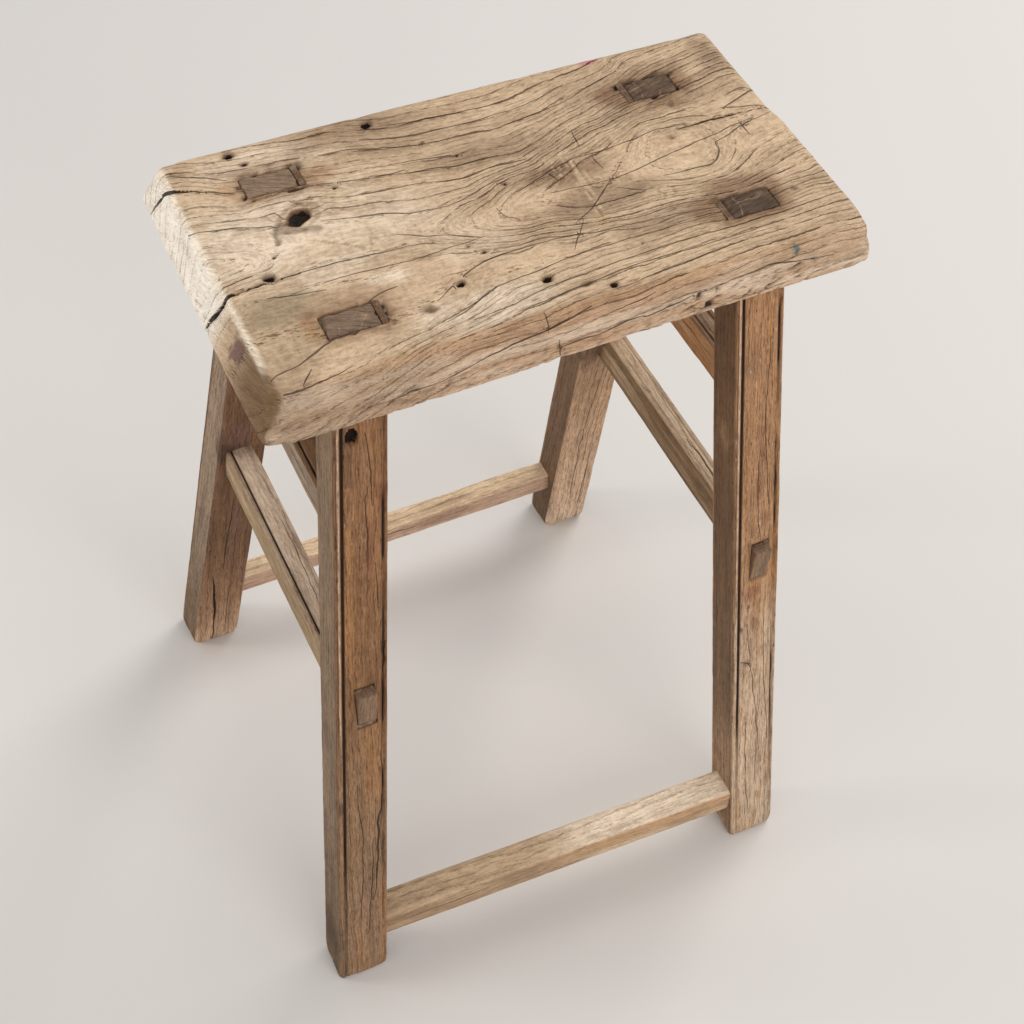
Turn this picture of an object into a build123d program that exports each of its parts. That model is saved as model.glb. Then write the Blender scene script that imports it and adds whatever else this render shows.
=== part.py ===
from build123d import *
import os

# A four-legged wooden stool, made with wedged mortise and tenon joints and no metal.
# Millimetres. +Z is up, +X runs along the seat's long side to the right, and -Y is the front.
# The origin is on the floor, in the middle of the stool's footprint. The front right foot stands
# further out than the others, so the seat's middle lies slightly behind it.

# Seat plank
HEIGHT = 500.0
SEAT_LENGTH = 354.0
SEAT_WIDTH = 188.0
SEAT_THICKNESS = 36.0
SEAT_CENTRE_X = 1.0
SEAT_CENTRE_Y = 3.0
SEAT_CORNER_RADIUS = 7.0
SEAT_TOP_ROUND = 5.0
SEAT_UNDER_ROUND = 2.0
# Both ends lean inwards above this height, by so much at the top
SEAT_END_BREAK = 480.0
SEAT_LEFT_LEAN = 7.5
SEAT_RIGHT_LEAN = 4.0
# The plank is planed away underneath, more and more towards its right end
SEAT_BEVEL_LEFT = 1.5
SEAT_BEVEL_RIGHT = 9.0
SEAT_BEVEL_DEPTH = 17.0
SEAT_END_BEVEL = 8.0
SEAT_END_BEVEL_DEPTH = 24.0
UNDERSIDE = HEIGHT - SEAT_THICKNESS

# Leg centre lines: (x, y) at the seat's underside and (x, y) at the floor. They were set by eye,
# so no two splay quite alike.
LEG_LINES = {
    "front_left": ((-116.5, -58.5), (-149.0, -144.5)),
    "front_right": ((123.0, -56.0), (145.5, -153.5)),
    "back_left": ((-117.0, 67.0), (-146.5, 151.5)),
    "back_right": ((119.5, 66.0), (149.0, 153.0)),
}
LEG_TOP_SECTION = (30.5, 28.0)
LEG_FOOT_SECTION = (33.5, 28.5)
LEG_OVERRUN = 25.0

# Moulding on each leg's outer face: a bead and a groove along both edges, and a crowned middle
BEAD_WIDTH = 3.6
BEAD_SETBACK = 1.6
GROOVE_WIDTH = 2.0
GROOVE_DEPTH = 2.2
FLAT_SETBACK = 0.9

# Tenons on top of the legs, and the wedges driven down beside their inner ends
LEG_TENON = (29.5, 16.5)
SEAT_WEDGE_TOP = 3.4
SEAT_WEDGE_TIP = 1.0
SEAT_WEDGE_LENGTH = 30.0

# Long low stretchers, between the left and the right legs: (depth, height)
FRONT_STRETCHER = (21.0, 23.0)
FRONT_STRETCHER_Z = {"left": 36.0, "right": 36.0}
FRONT_STRETCHER_OUT = 1.5
FRONT_STRETCHER_ROUND = 3.5
BACK_STRETCHER = (16.0, 15.5)
BACK_STRETCHER_Z = {"left": 55.0, "right": 60.0}
BACK_STRETCHER_OUT = 3.4
BACK_STRETCHER_ROUND = 1.8
LONG_TENON_THICKNESS = 9.0
LONG_TENON_CHEEK = 2.0
LONG_TENON_DEPTH = 21.0

# Side stretchers, between the front and the back legs: (thickness, height)
LOWER_SIDE = {"left": (17.5, 26.0), "right": (14.0, 25.0)}
LOWER_SIDE_Z = {"left": {"front": 245.5, "back": 249.0}, "right": {"front": 254.0, "back": 254.5}}
LOWER_SIDE_OUT = {"left": 1.4, "right": 3.2}
UPPER_SIDE = (16.0, 22.0)
UPPER_SIDE_Z = {"left": {"front": 364.0, "back": 367.0}, "right": {"front": 371.0, "back": 371.0}}
UPPER_SIDE_OUT = 2.2
SIDE_GROOVE_INSET = 2.6
SIDE_GROOVE_WIDTH = 1.8
SIDE_GROOVE_DEPTH = 1.4
SIDE_ROUND = 0.8
LOWER_TENON_THICKNESS = 12.0
UPPER_TENON_THICKNESS = 9.0
UPPER_TENON_CHEEK = 2.0
UPPER_TENON_DEPTH = 18.0

# Thin wedges beside the lower side stretchers' through tenons, driven in from the outer faces
SIDE_WEDGE_FACE = 2.4
SIDE_WEDGE_TIP = 0.8
SIDE_WEDGE_LENGTH = 21.0

# Small open hole high on the front left leg's outer face
LEG_HOLE_DIAMETER = 6.5
LEG_HOLE_DEPTH = 9.0
LEG_HOLE_Z = 441.0
LEG_HOLE_X = -5.0

FAR = 400.0


def slab(low, high):
    """Everything between two heights."""
    middle = (low + high) / 2
    return Pos(0, 0, middle) * Box(2 * FAR, 2 * FAR, high - low)


def leg_point(name, z):
    """The point of a leg's centre line at a height."""
    top, foot = LEG_LINES[name]
    share = z / UNDERSIDE
    return Vector(foot[0] + (top[0] - foot[0]) * share, foot[1] + (top[1] - foot[1]) * share, z)


def leg_plane(name, z):
    """A plane square to a leg, with its x axis across the stool's long way."""
    axis = (leg_point(name, UNDERSIDE) - leg_point(name, 0)).normalized()
    across = Vector(1, 0, 0) - axis * axis.X
    return Plane(origin=leg_point(name, z), x_dir=across, z_dir=axis)


def outer_side(name):
    """-1 where the moulded face looks to the front, 1 where it looks to the back."""
    return -1 if name.startswith("front") else 1


def leg_section(width, depth, side):
    """The leg's outline: three plain faces and the moulded one."""
    edge = width / 2
    face = depth / 2
    bead_end = edge - BEAD_WIDTH
    groove_end = bead_end - GROOVE_WIDTH
    groove_middle = (bead_end + groove_end) / 2

    def at(x, y):
        return (x, y * side)

    half = [
        Line(at(0, -face), at(edge, -face)),
        Line(at(edge, -face), at(edge, face - BEAD_SETBACK)),
        ThreePointArc(
            at(edge, face - BEAD_SETBACK),
            at(edge - BEAD_WIDTH / 2, face),
            at(bead_end, face - BEAD_SETBACK),
        ),
        Line(at(bead_end, face - BEAD_SETBACK), at(groove_middle, face - GROOVE_DEPTH)),
        Line(at(groove_middle, face - GROOVE_DEPTH), at(groove_end, face - FLAT_SETBACK)),
    ]
    crown = ThreePointArc(
        at(groove_end, face - FLAT_SETBACK), at(0, face), at(-groove_end, face - FLAT_SETBACK)
    )
    other_half = [mirror(edge_line, about=Plane.YZ) for edge_line in half]
    return make_face(half + [crown] + other_half)


def leg_blank(name):
    """A leg before its mortises are cut: a tapered splayed post with a tenon on top."""
    side = outer_side(name)
    growth = LEG_OVERRUN / UNDERSIDE
    low = [f - (t - f) * growth for t, f in zip(LEG_TOP_SECTION, LEG_FOOT_SECTION)]
    high = [t + (t - f) * growth for t, f in zip(LEG_TOP_SECTION, LEG_FOOT_SECTION)]
    foot_face = leg_plane(name, -LEG_OVERRUN) * leg_section(*low, side)
    top_face = leg_plane(name, UNDERSIDE + LEG_OVERRUN) * leg_section(*high, side)
    post = loft([foot_face, top_face], ruled=True) & slab(0, UNDERSIDE)
    return post + leg_tenon(name)


def leg_tenon(name):
    """The leg's tenon, as a slanted bar through the seat's whole thickness."""
    bar = extrude(leg_plane(name, UNDERSIDE) * Rectangle(*LEG_TENON), 2 * SEAT_THICKNESS, both=True)
    return bar & slab(UNDERSIDE, HEIGHT)


def seat_wedge(name):
    """A wedge against the inner end of a leg's tenon, flush with the seat's top."""
    top_plane = leg_plane(name, HEIGHT)
    inward = -1 if leg_point(name, 0).X > 0 else 1
    tenon_end = LEG_TENON[0] / 2
    flare = (SEAT_WEDGE_TOP - SEAT_WEDGE_TIP) / SEAT_WEDGE_LENGTH
    over = SEAT_WEDGE_TOP
    profile_plane = Plane(origin=top_plane.origin, x_dir=top_plane.x_dir, z_dir=-top_plane.y_dir)
    points = [
        (tenon_end, -SEAT_WEDGE_LENGTH),
        (tenon_end + SEAT_WEDGE_TIP, -SEAT_WEDGE_LENGTH),
        (tenon_end + SEAT_WEDGE_TOP + flare * over, over),
        (tenon_end, over),
    ]
    outline = make_face(Polyline(*[(inward * x, y) for x, y in points], close=True))
    wedge = extrude(profile_plane * outline, LEG_TENON[1] / 2, both=True)
    return wedge & slab(UNDERSIDE, HEIGHT)


def bar_ends(start, end, heights):
    """The points of two legs' centre lines that a bar runs between."""
    first, last = heights.values()
    return leg_point(start, first), leg_point(end, last)


def bar_plane(start, end, heights, out):
    """The middle of the line between two legs, moved outwards, facing the end leg."""
    first, last = bar_ends(start, end, heights)
    along = (last - first).normalized()
    outwards = Vector(0, 0, 1).cross(along).normalized()
    middle = (first + last) * 0.5
    if outwards.dot(middle) < 0:
        outwards = -outwards
    return Plane(origin=middle + outwards * out, x_dir=outwards, z_dir=along)


def bar_spacing(start, end, heights):
    """The distance between two legs' centre lines along a bar."""
    first, last = bar_ends(start, end, heights)
    return (last - first).length


def bar(plane, outline, length):
    """An outline drawn out to a length, half of it to each side of its plane."""
    return extrude(plane * outline, length / 2, both=True)


def upright(plane):
    """1 or -1: which way the plane's y axis points, up or down."""
    return 1 if plane.y_dir.Z > 0 else -1


def long_outline(section, rounding):
    """A long stretcher's section, with worn round edges."""
    return RectangleRounded(section[0], section[1], rounding)


def side_outline(section, up):
    """A side stretcher's section: a board on edge with a groove along both upper edges."""
    half = section[0] / 2
    top = section[1] / 2
    start = half - SIDE_GROOVE_INSET
    end = start - SIDE_GROOVE_WIDTH
    middle = (start + end) / 2
    right = [
        (half, -top),
        (half, top - SIDE_ROUND),
        (half - SIDE_ROUND, top),
        (start, top),
        (middle, top - SIDE_GROOVE_DEPTH),
        (end, top),
    ]
    left = [(-x, y) for x, y in reversed(right)]
    points = [(x, y * up) for x, y in right + left]
    return make_face(Polyline(*points, close=True))


def blind_tenons(plane, thickness, height, spacing, half_leg, depth):
    """A bar that ends inside both legs, for the tenons of a stretcher."""
    reach = spacing - 2 * half_leg + 2 * depth
    return bar(plane, Rectangle(thickness, height), reach)


def make_stretcher(body, tenons, legs):
    """The part of a bar between two legs, with its tenons inside them."""
    pieces = (body - legs[0] - legs[1]).solids()
    between = max(pieces, key=lambda piece: piece.volume)
    return between + (tenons & legs[0]) + (tenons & legs[1])


def long_stretcher(blanks, end, section, heights, out, rounding):
    """A low stretcher between the left and the right leg of the front or the back."""
    names = (end + "_left", end + "_right")
    plane = bar_plane(*names, heights, out)
    spacing = bar_spacing(*names, heights)
    body = bar(plane, long_outline(section, rounding), spacing)
    height = section[1] - 2 * LONG_TENON_CHEEK
    half_leg = LEG_FOOT_SECTION[0] / 2
    tenons = blind_tenons(plane, LONG_TENON_THICKNESS, height, spacing, half_leg, LONG_TENON_DEPTH)
    return make_stretcher(body, tenons, [blanks[name] for name in names])


def upper_side_stretcher(blanks, side):
    """The upper stretcher of one side, with blind tenons."""
    names = ("front_" + side, "back_" + side)
    heights = UPPER_SIDE_Z[side]
    plane = bar_plane(*names, heights, UPPER_SIDE_OUT)
    spacing = bar_spacing(*names, heights)
    body = bar(plane, side_outline(UPPER_SIDE, upright(plane)), spacing)
    height = UPPER_SIDE[1] - 2 * UPPER_TENON_CHEEK
    half_leg = LEG_TOP_SECTION[1] / 2
    tenons = blind_tenons(plane, UPPER_TENON_THICKNESS, height, spacing, half_leg, UPPER_TENON_DEPTH)
    return make_stretcher(body, tenons, [blanks[name] for name in names])


def lower_side_plane(side):
    """The middle of one side's lower stretcher."""
    return bar_plane("front_" + side, "back_" + side, LOWER_SIDE_Z[side], LOWER_SIDE_OUT[side])


def lower_tenon_shift(side):
    """The through tenon is flush with its board's inner face, so it lies off the middle."""
    return -(LOWER_SIDE[side][0] - LOWER_TENON_THICKNESS) / 2


def lower_side_stretcher(blanks, side):
    """The lower stretcher of one side, with tenons that go right through the legs."""
    names = ("front_" + side, "back_" + side)
    section = LOWER_SIDE[side]
    plane = lower_side_plane(side)
    spacing = bar_spacing(*names, LOWER_SIDE_Z[side])
    body = bar(plane, side_outline(section, upright(plane)), spacing)
    tenon = Pos(lower_tenon_shift(side), 0) * Rectangle(LOWER_TENON_THICKNESS, section[1])
    tenons = bar(plane, tenon, 2 * spacing)
    return make_stretcher(body, tenons, [blanks[name] for name in names])


def side_wedge(blanks, name, above):
    """A thin wedge over or under a through tenon, flush with the leg's outer face."""
    end, side = name.split("_")
    plane = lower_side_plane(side)
    towards_leg = plane.z_dir if end == "back" else -plane.z_dir
    leg_middle = bar_spacing("front_" + side, "back_" + side, LOWER_SIDE_Z[side]) / 2
    outer_face = leg_middle + LEG_TOP_SECTION[1] / 2
    tenon_face = LOWER_SIDE[side][1] / 2
    up = plane.y_dir * (upright(plane) if above else -upright(plane))
    start = plane.origin + plane.x_dir * lower_tenon_shift(side) + up * tenon_face
    profile_plane = Plane(origin=start, x_dir=towards_leg, z_dir=towards_leg.cross(up))
    flare = (SIDE_WEDGE_FACE - SIDE_WEDGE_TIP) / SIDE_WEDGE_LENGTH
    over = 4 * SIDE_WEDGE_FACE
    outline = Polygon(
        (outer_face - SIDE_WEDGE_LENGTH, 0),
        (outer_face + over, 0),
        (outer_face + over, SIDE_WEDGE_FACE + flare * over),
        (outer_face - SIDE_WEDGE_LENGTH, SIDE_WEDGE_TIP),
        align=None,
    )
    wedge = extrude(profile_plane * outline, LOWER_TENON_THICKNESS / 2, both=True)
    return wedge & blanks[name]


def leg_hole():
    """The open hole in the front left leg, drilled square to its moulded face."""
    plane = leg_plane("front_left", LEG_HOLE_Z)
    face = LEG_TOP_SECTION[1] / 2
    centre = plane.origin + plane.x_dir * LEG_HOLE_X - plane.y_dir * face
    drill = Plane(origin=centre, x_dir=plane.x_dir, z_dir=plane.y_dir)
    return extrude(drill * Circle(LEG_HOLE_DIAMETER / 2), LEG_HOLE_DEPTH, both=True)


def below_plane(first, second, third):
    """Everything under the plane through three points, which run anticlockwise seen from above."""
    one, two, three = Vector(*first), Vector(*second), Vector(*third)
    normal = (two - one).cross(three - one).normalized()
    return Plane(origin=one, z_dir=normal) * Pos(0, 0, -FAR) * Box(2 * FAR, 2 * FAR, 2 * FAR)


def planed_away():
    """The wood planed off under the seat's front edge and under its right end."""
    left = SEAT_CENTRE_X - SEAT_LENGTH / 2
    right = SEAT_CENTRE_X + SEAT_LENGTH / 2
    front = SEAT_CENTRE_Y - SEAT_WIDTH / 2
    back = SEAT_CENTRE_Y + SEAT_WIDTH / 2
    front_bevel = below_plane(
        (left, front, UNDERSIDE + SEAT_BEVEL_LEFT),
        (right, front, UNDERSIDE + SEAT_BEVEL_RIGHT),
        (right, front + SEAT_BEVEL_DEPTH, UNDERSIDE),
    )
    end_bevel = below_plane(
        (right, front, UNDERSIDE + SEAT_END_BEVEL),
        (right, back, UNDERSIDE + SEAT_END_BEVEL / 2),
        (right - SEAT_END_BEVEL_DEPTH, front, UNDERSIDE),
    )
    return front_bevel + end_bevel


def make_seat():
    """The seat plank, with a slanted mortise for each leg's tenon."""
    outline = RectangleRounded(SEAT_LENGTH, SEAT_WIDTH, SEAT_CORNER_RADIUS)
    lower = extrude(Pos(SEAT_CENTRE_X, SEAT_CENTRE_Y, UNDERSIDE) * outline, SEAT_END_BREAK - UNDERSIDE)
    top_length = SEAT_LENGTH - SEAT_LEFT_LEAN - SEAT_RIGHT_LEAN
    top_centre = SEAT_CENTRE_X + (SEAT_LEFT_LEAN - SEAT_RIGHT_LEAN) / 2
    upper = loft(
        [
            Pos(SEAT_CENTRE_X, SEAT_CENTRE_Y, SEAT_END_BREAK) * outline,
            Pos(top_centre, SEAT_CENTRE_Y, HEIGHT)
            * RectangleRounded(top_length, SEAT_WIDTH, SEAT_CORNER_RADIUS),
        ],
        ruled=True,
    )
    plank = lower + upper
    plank = fillet(plank.edges().group_by(Axis.Z)[-1], SEAT_TOP_ROUND)
    plank = fillet(plank.edges().group_by(Axis.Z)[0], SEAT_UNDER_ROUND)
    plank = plank - planed_away()
    for name in LEG_LINES:
        plank = plank - leg_tenon(name) - seat_wedge(name)
    return plank


def make_legs(blanks, stretchers, wedges):
    """The legs with every mortise cut to the piece that fills it."""
    legs = {}
    for name, blank in blanks.items():
        leg = blank
        for piece in list(stretchers.values()) + list(wedges.values()):
            leg = leg - piece
        legs["leg_" + name] = leg
    legs["leg_front_left"] = legs["leg_front_left"] - leg_hole()
    return legs


def build():
    """Every piece of the stool, by its node name."""
    blanks = {name: leg_blank(name) for name in LEG_LINES}
    stretchers = {
        "stretcher_front": long_stretcher(
            blanks,
            "front",
            FRONT_STRETCHER,
            FRONT_STRETCHER_Z,
            FRONT_STRETCHER_OUT,
            FRONT_STRETCHER_ROUND,
        ),
        "stretcher_back": long_stretcher(
            blanks,
            "back",
            BACK_STRETCHER,
            BACK_STRETCHER_Z,
            BACK_STRETCHER_OUT,
            BACK_STRETCHER_ROUND,
        ),
    }
    for side in ("left", "right"):
        stretchers["side_stretcher_lower_" + side] = lower_side_stretcher(blanks, side)
        stretchers["side_stretcher_upper_" + side] = upper_side_stretcher(blanks, side)
    wedges = {"seat_wedge_" + name: seat_wedge(name) for name in LEG_LINES}
    for name in LEG_LINES:
        wedges["tenon_wedge_" + name] = side_wedge(blanks, name, above=True)
    wedges["tenon_wedge_front_left_under"] = side_wedge(blanks, "front_left", above=False)
    return {"seat": make_seat()} | make_legs(blanks, stretchers, wedges) | stretchers | wedges


def main():
    os.makedirs("parts", exist_ok=True)
    for node, shape in build().items():
        solid = shape.solid()
        export_step(solid, "parts/" + node + ".step")
        print(node, round(solid.volume), solid.bounding_box())


main()
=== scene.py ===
import math

import bpy
import numpy as np
from mathutils import Matrix, Vector


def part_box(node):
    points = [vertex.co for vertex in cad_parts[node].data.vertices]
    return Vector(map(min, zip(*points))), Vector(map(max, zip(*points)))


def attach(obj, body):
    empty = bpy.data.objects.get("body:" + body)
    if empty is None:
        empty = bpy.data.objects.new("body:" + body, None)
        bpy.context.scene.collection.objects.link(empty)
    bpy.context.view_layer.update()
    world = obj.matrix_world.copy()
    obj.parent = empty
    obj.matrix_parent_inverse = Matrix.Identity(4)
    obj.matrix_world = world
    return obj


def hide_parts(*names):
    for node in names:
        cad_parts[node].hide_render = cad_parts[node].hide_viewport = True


# A weathered four-legged elm stool. Lengths are in millimetres until a mesh is made, and +Z is up.
# Each board is one closed mesh with its own wear, cracks and grain. The coordinates of its grain
# are stored on its points, and the materials draw fibres, pores and growth rings from them.

MM = 0.001
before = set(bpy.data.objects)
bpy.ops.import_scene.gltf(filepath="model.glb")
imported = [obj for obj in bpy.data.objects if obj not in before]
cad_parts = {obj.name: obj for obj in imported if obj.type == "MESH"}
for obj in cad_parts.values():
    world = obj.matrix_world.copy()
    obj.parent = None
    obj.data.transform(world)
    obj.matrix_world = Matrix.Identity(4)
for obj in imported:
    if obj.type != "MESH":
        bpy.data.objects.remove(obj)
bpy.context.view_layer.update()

# ---------------------------------------------------------------- camera, floor and light
CAMERA_POSITION = (-370.8, -681.5, 1175.1)
CAMERA_TURN = 29.84
CAMERA_DOWN = 50.33
CAMERA_ROLL = 5.7
CAMERA_LENS = 66.5
FLOOR_SIZE = 4000.0
FLOOR_COLOUR = (0.74, 0.715, 0.69)

# ---------------------------------------------------------------- sizes of the frame's pieces
SEAT_LOW, SEAT_HIGH = (np.array(corner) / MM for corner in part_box("seat"))
SEAT_TOP = SEAT_HIGH[2]
UNDERSIDE = SEAT_LOW[2]
LEGS = ("front_left", "front_right", "back_left", "back_right")
LEG_TOP_SECTION = (30.5, 28.0)
LEG_FOOT_SECTION = (33.5, 28.5)
LEG_TENON = (29.5, 16.5)
SEAT_WEDGE = 3.4
SIDE_TENON = 12.0
SIDE_WEDGE = 2.4
BEAD_WIDTH = 3.6
BEAD_SETBACK = 1.6
GROOVE_WIDTH = 2.0
GROOVE_DEPTH = 2.2
FLAT_SETBACK = 0.9
THROUGH_TENON_LENGTH = 24.0
STUB_TENON_LENGTH = 12.0
TENON_END_LENGTH = 28.0
TENON_BED = 6.0
SIDE_TENON_BED = 3.0


def colour(red, green, blue):
    """A colour given as it shows on a screen, from 0 to 255, in linear light."""
    return tuple((c / 255) ** 2.2 for c in (red, green, blue))


# ---------------------------------------------------------------- wood colours
PALE = colour(222, 196, 163)
TAN = colour(196, 168, 138)
ORANGE = colour(176, 128, 84)
BROWN = colour(128, 98, 72)
DARK = colour(74, 56, 42)
GREY = colour(150, 132, 114)
GREEN_GREY = colour(146, 130, 106)
CREAM = colour(246, 230, 208)
PURPLE = colour(118, 90, 86)
PINK = colour(196, 164, 142)
BLACK = colour(38, 28, 22)
TEAL = colour(74, 106, 108)
ROSE = colour(196, 96, 124)
STRAW = colour(214, 178, 116)
SUNLIT_END = colour(255, 246, 232)
SHADED_END = colour(126, 100, 72)


# ================================================================ noise and shaping helpers
def smooth(low, high, x):
    """0 below low, 1 above high, and a smooth step between them."""
    t = np.clip((x - low) / (high - low), 0, 1)
    return t * t * (3 - 2 * t)


def lattice_value(i, j, k, seed):
    """A repeatable value from 0 to 1 for each lattice point."""
    h = (i * 374761393 + j * 668265263 + k * 1442695041 + seed * 974634777) & 0xFFFFFFFF
    h = ((h ^ (h >> 13)) * 1274126177) & 0xFFFFFFFF
    h = ((h ^ (h >> 15)) * 2246822519) & 0xFFFFFFFF
    return (h ^ (h >> 16)) / 4294967295.0


def noise(points, size, seed, octaves=1):
    """Smooth noise from -1 to 1. size is the size of its lumps along each axis."""
    total = np.zeros(len(points))
    weight = 1.0
    for octave in range(octaves):
        p = points / np.array(size) * 2.0**octave
        cell = np.floor(p).astype(np.int64)
        f = p - cell
        f = f * f * (3 - 2 * f)
        value = np.zeros(len(points))
        for corner in range(8):
            step = np.array([corner & 1, corner >> 1 & 1, corner >> 2 & 1])
            share = np.prod(np.where(step, f, 1 - f), axis=1)
            value += share * lattice_value(*(cell + step).T, seed + 31 * octave)
        total += weight * (2 * value - 1)
        weight *= 0.5
    return total / (2 - 2.0 ** (1 - octaves))


def blend(colours, other, amount):
    """Each point's colour moved towards another colour."""
    amount = np.clip(amount, 0, 1)[:, None]
    return colours * (1 - amount) + np.array(other) * amount


def spot(points, centre, radii):
    """How far points lie from a spot's centre, with the spot's edge at 1."""
    return np.linalg.norm((points - centre) / radii, axis=1)


def wobbled(points, seed):
    """Points moved a little by noise, so that what is drawn from them isn't ruler-straight."""
    large = [noise(points, (11, 11, 11), seed + k) for k in range(3)]
    small = [noise(points, (2.6, 2.6, 2.6), seed + 5 + k) for k in range(3)]
    return points + 0.9 * np.stack(large, 1) + 0.28 * np.stack(small, 1)


def filled(route, last):
    """A route's points as an array, with their last coordinate filled in where it is left out."""
    return np.array([(*point, last)[:3] for point in route], float)


def curve(p, steps=8):
    """A smooth line through the points of a route."""
    p = np.vstack([2 * p[0] - p[1], p, 2 * p[-1] - p[-2]])
    t = np.linspace(0, 1, steps, endpoint=False)[:, None]
    runs = []
    for before, start, end, after in zip(p, p[1:], p[2:], p[3:]):
        bend = (2 * before - 5 * start + 4 * end - after) * t**2
        twist = (3 * start - before - 3 * end + after) * t**3
        runs.append(0.5 * (2 * start + (end - before) * t + bend + twist))
    return np.vstack(runs + [p[-2:-1]])


def follow(points, away, route):
    """For each point: how far it is from a route, how far along, and how far to which side."""
    far = np.full(len(points), 1e9)
    share = np.zeros(len(points))
    side = np.zeros(len(points))
    runs = len(route) - 1
    for k in range(runs):
        start, run = route[k], route[k + 1] - route[k]
        t = np.clip((points - start) @ run / (run @ run), 0, 1)
        off = points - start - t[:, None] * run
        d = np.linalg.norm(off, axis=1)
        across = np.cross(away, run / np.linalg.norm(run))
        nearer = d < far
        far = np.where(nearer, d, far)
        share = np.where(nearer, (k + t) / runs, share)
        side = np.where(nearer, (off * across).sum(1), side)
    return far, share, side


CRACK_REACH = 2.6
WIDE_CRACK = 1.3


def cracks(wood, points, away, routes, seed, last=0.0):
    """Writes a list of cracks, (width, depth, route), to a board and returns how deep it is cut.

    Fine cracks are only drawn by the material, from the signed distance to their middle. A point
    of a route that gives two coordinates gets its last one from the board."""
    moved = wobbled(points, seed)
    depth = np.zeros(len(points))
    score = np.full(len(points), 1e9)
    for width, deep, route in routes:
        route = curve(filled(route, last))
        low = route.min(0) - CRACK_REACH - 1
        high = route.max(0) + CRACK_REACH + 1
        near = np.nonzero(((moved > low) & (moved < high)).all(1))[0]
        if len(near) == 0:
            continue
        far, share, side = follow(moved[near], away[near], route)
        taper = 0.25 + 0.75 * np.sin(np.pi * np.clip(share, 0.04, 0.96)) ** 0.6
        half = width / 2 * taper
        taken = (far < CRACK_REACH) & (far - half < score[near])
        score[near[taken]] = (far - half)[taken]
        wood.fissure[near[taken], 0] = side[taken]
        wood.fissure[near[taken], 1] = half[taken]
        if width >= WIDE_CRACK:
            cut = deep * taper * (1 - smooth(0.3, 1.0, far / (half + 0.4)))
            depth[near] = np.maximum(depth[near], cut)
    return depth


SURFACE_SLACK = 40.0


def thin_plate(points, knots):
    """A smooth surface close to (x, y, value) knots, read at each point."""
    knots = np.array(knots, float)
    xy, value = knots[:, :2], knots[:, 2]

    def kernel(a, b):
        r2 = ((a[:, None] - b[None]) ** 2).sum(2)
        return r2 * np.log(np.maximum(r2, 1e-9))

    def affine(p):
        return np.column_stack([np.ones(len(p)), p])

    n = len(knots)
    system = np.zeros((n + 3, n + 3))
    system[:n, :n] = kernel(xy, xy) + SURFACE_SLACK * np.eye(n)
    system[:n, n:] = affine(xy)
    system[n:, :n] = affine(xy).T
    weights = np.linalg.solve(system, np.append(value, np.zeros(3)))
    parts = np.array_split(points, max(1, len(points) // 20000))
    return np.concatenate([kernel(part, xy) @ weights[:n] + affine(part) @ weights[n:] for part in parts])


# ================================================================ meshes
def box_surface(xs, ys, zs, coarse=1):
    """The six sides of a box as one closed mesh, with a line of points at each given place.

    The underside can have faces of several cells each way, joined to the sides' finer points."""
    axes = (xs, ys, zs)
    counts = [len(a) for a in axes]

    def number(i, j, k):
        return (i * counts[1] + j) * counts[2] + k

    faces = []
    for fixed in range(3):
        p, q = [k for k in range(3) if k != fixed]
        i, j = np.meshgrid(np.arange(counts[p] - 1), np.arange(counts[q] - 1), indexing="ij")
        for end in (0, counts[fixed] - 1):
            if coarse > 1 and fixed == 2 and end == 0:
                continue
            corners = []
            for di, dj in ((0, 0), (1, 0), (1, 1), (0, 1)):
                place = [None] * 3
                place[fixed] = np.full(i.shape, end)
                place[p] = i + di
                place[q] = j + dj
                corners.append(number(*place))
            side = np.stack(corners, -1).reshape(-1, 4)
            inside_out = (fixed == 1) != (end == 0)
            faces.append(side[:, ::-1] if inside_out else side)
    faces = [face for side in faces for face in side.tolist()]
    if coarse > 1:
        faces += coarse_underside(counts[0] - 1, counts[1] - 1, coarse, number)
    sizes = [len(face) for face in faces]
    used, flat = np.unique(np.concatenate(faces), return_inverse=True)
    i, j, k = used // (counts[1] * counts[2]), used // counts[2] % counts[1], used % counts[2]
    return np.stack([xs[i], ys[j], zs[k]], 1), (flat, np.array(sizes))


def coarse_underside(last_i, last_j, step, number):
    """The underside's faces. Along the rim they take in every point of the sides."""
    faces = []
    for i0 in range(0, last_i, step):
        i1 = min(i0 + step, last_i)
        for j0 in range(0, last_j, step):
            j1 = min(j0 + step, last_j)
            face = []
            stride = 1 if i0 == 0 else j1 - j0
            face += [number(i0, j, 0) for j in range(j0, j1, stride)]
            stride = 1 if j1 == last_j else i1 - i0
            face += [number(i, j1, 0) for i in range(i0, i1, stride)]
            stride = 1 if i1 == last_i else j1 - j0
            face += [number(i1, j, 0) for j in range(j1, j0, -stride)]
            stride = 1 if j0 == 0 else i1 - i0
            face += [number(i, j0, 0) for i in range(i1, i0, -stride)]
            faces.append(face)
    return faces


def rounded(points, radius):
    """A box's points with its edges rounded to each point's radius, and the outward directions."""
    low, high = points.min(0), points.max(0)
    r = np.broadcast_to(np.asarray(radius, float), (len(points),))[:, None]
    core = np.clip(points, low + r, high - r)
    away = points - core
    away = away / np.maximum(np.linalg.norm(away, axis=1), 1e-9)[:, None]
    return core + away * r, away


def spaced(low, high, step, lines=()):
    """Even places from low to high, with more at the given lines."""
    places = np.linspace(low, high, max(2, int(round((high - low) / step)) + 1))
    for line in lines:
        places = places[np.abs(places - line) > 0.3 * step]
    return np.sort(np.append(places, [x for x in lines if low < x < high]))


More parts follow.
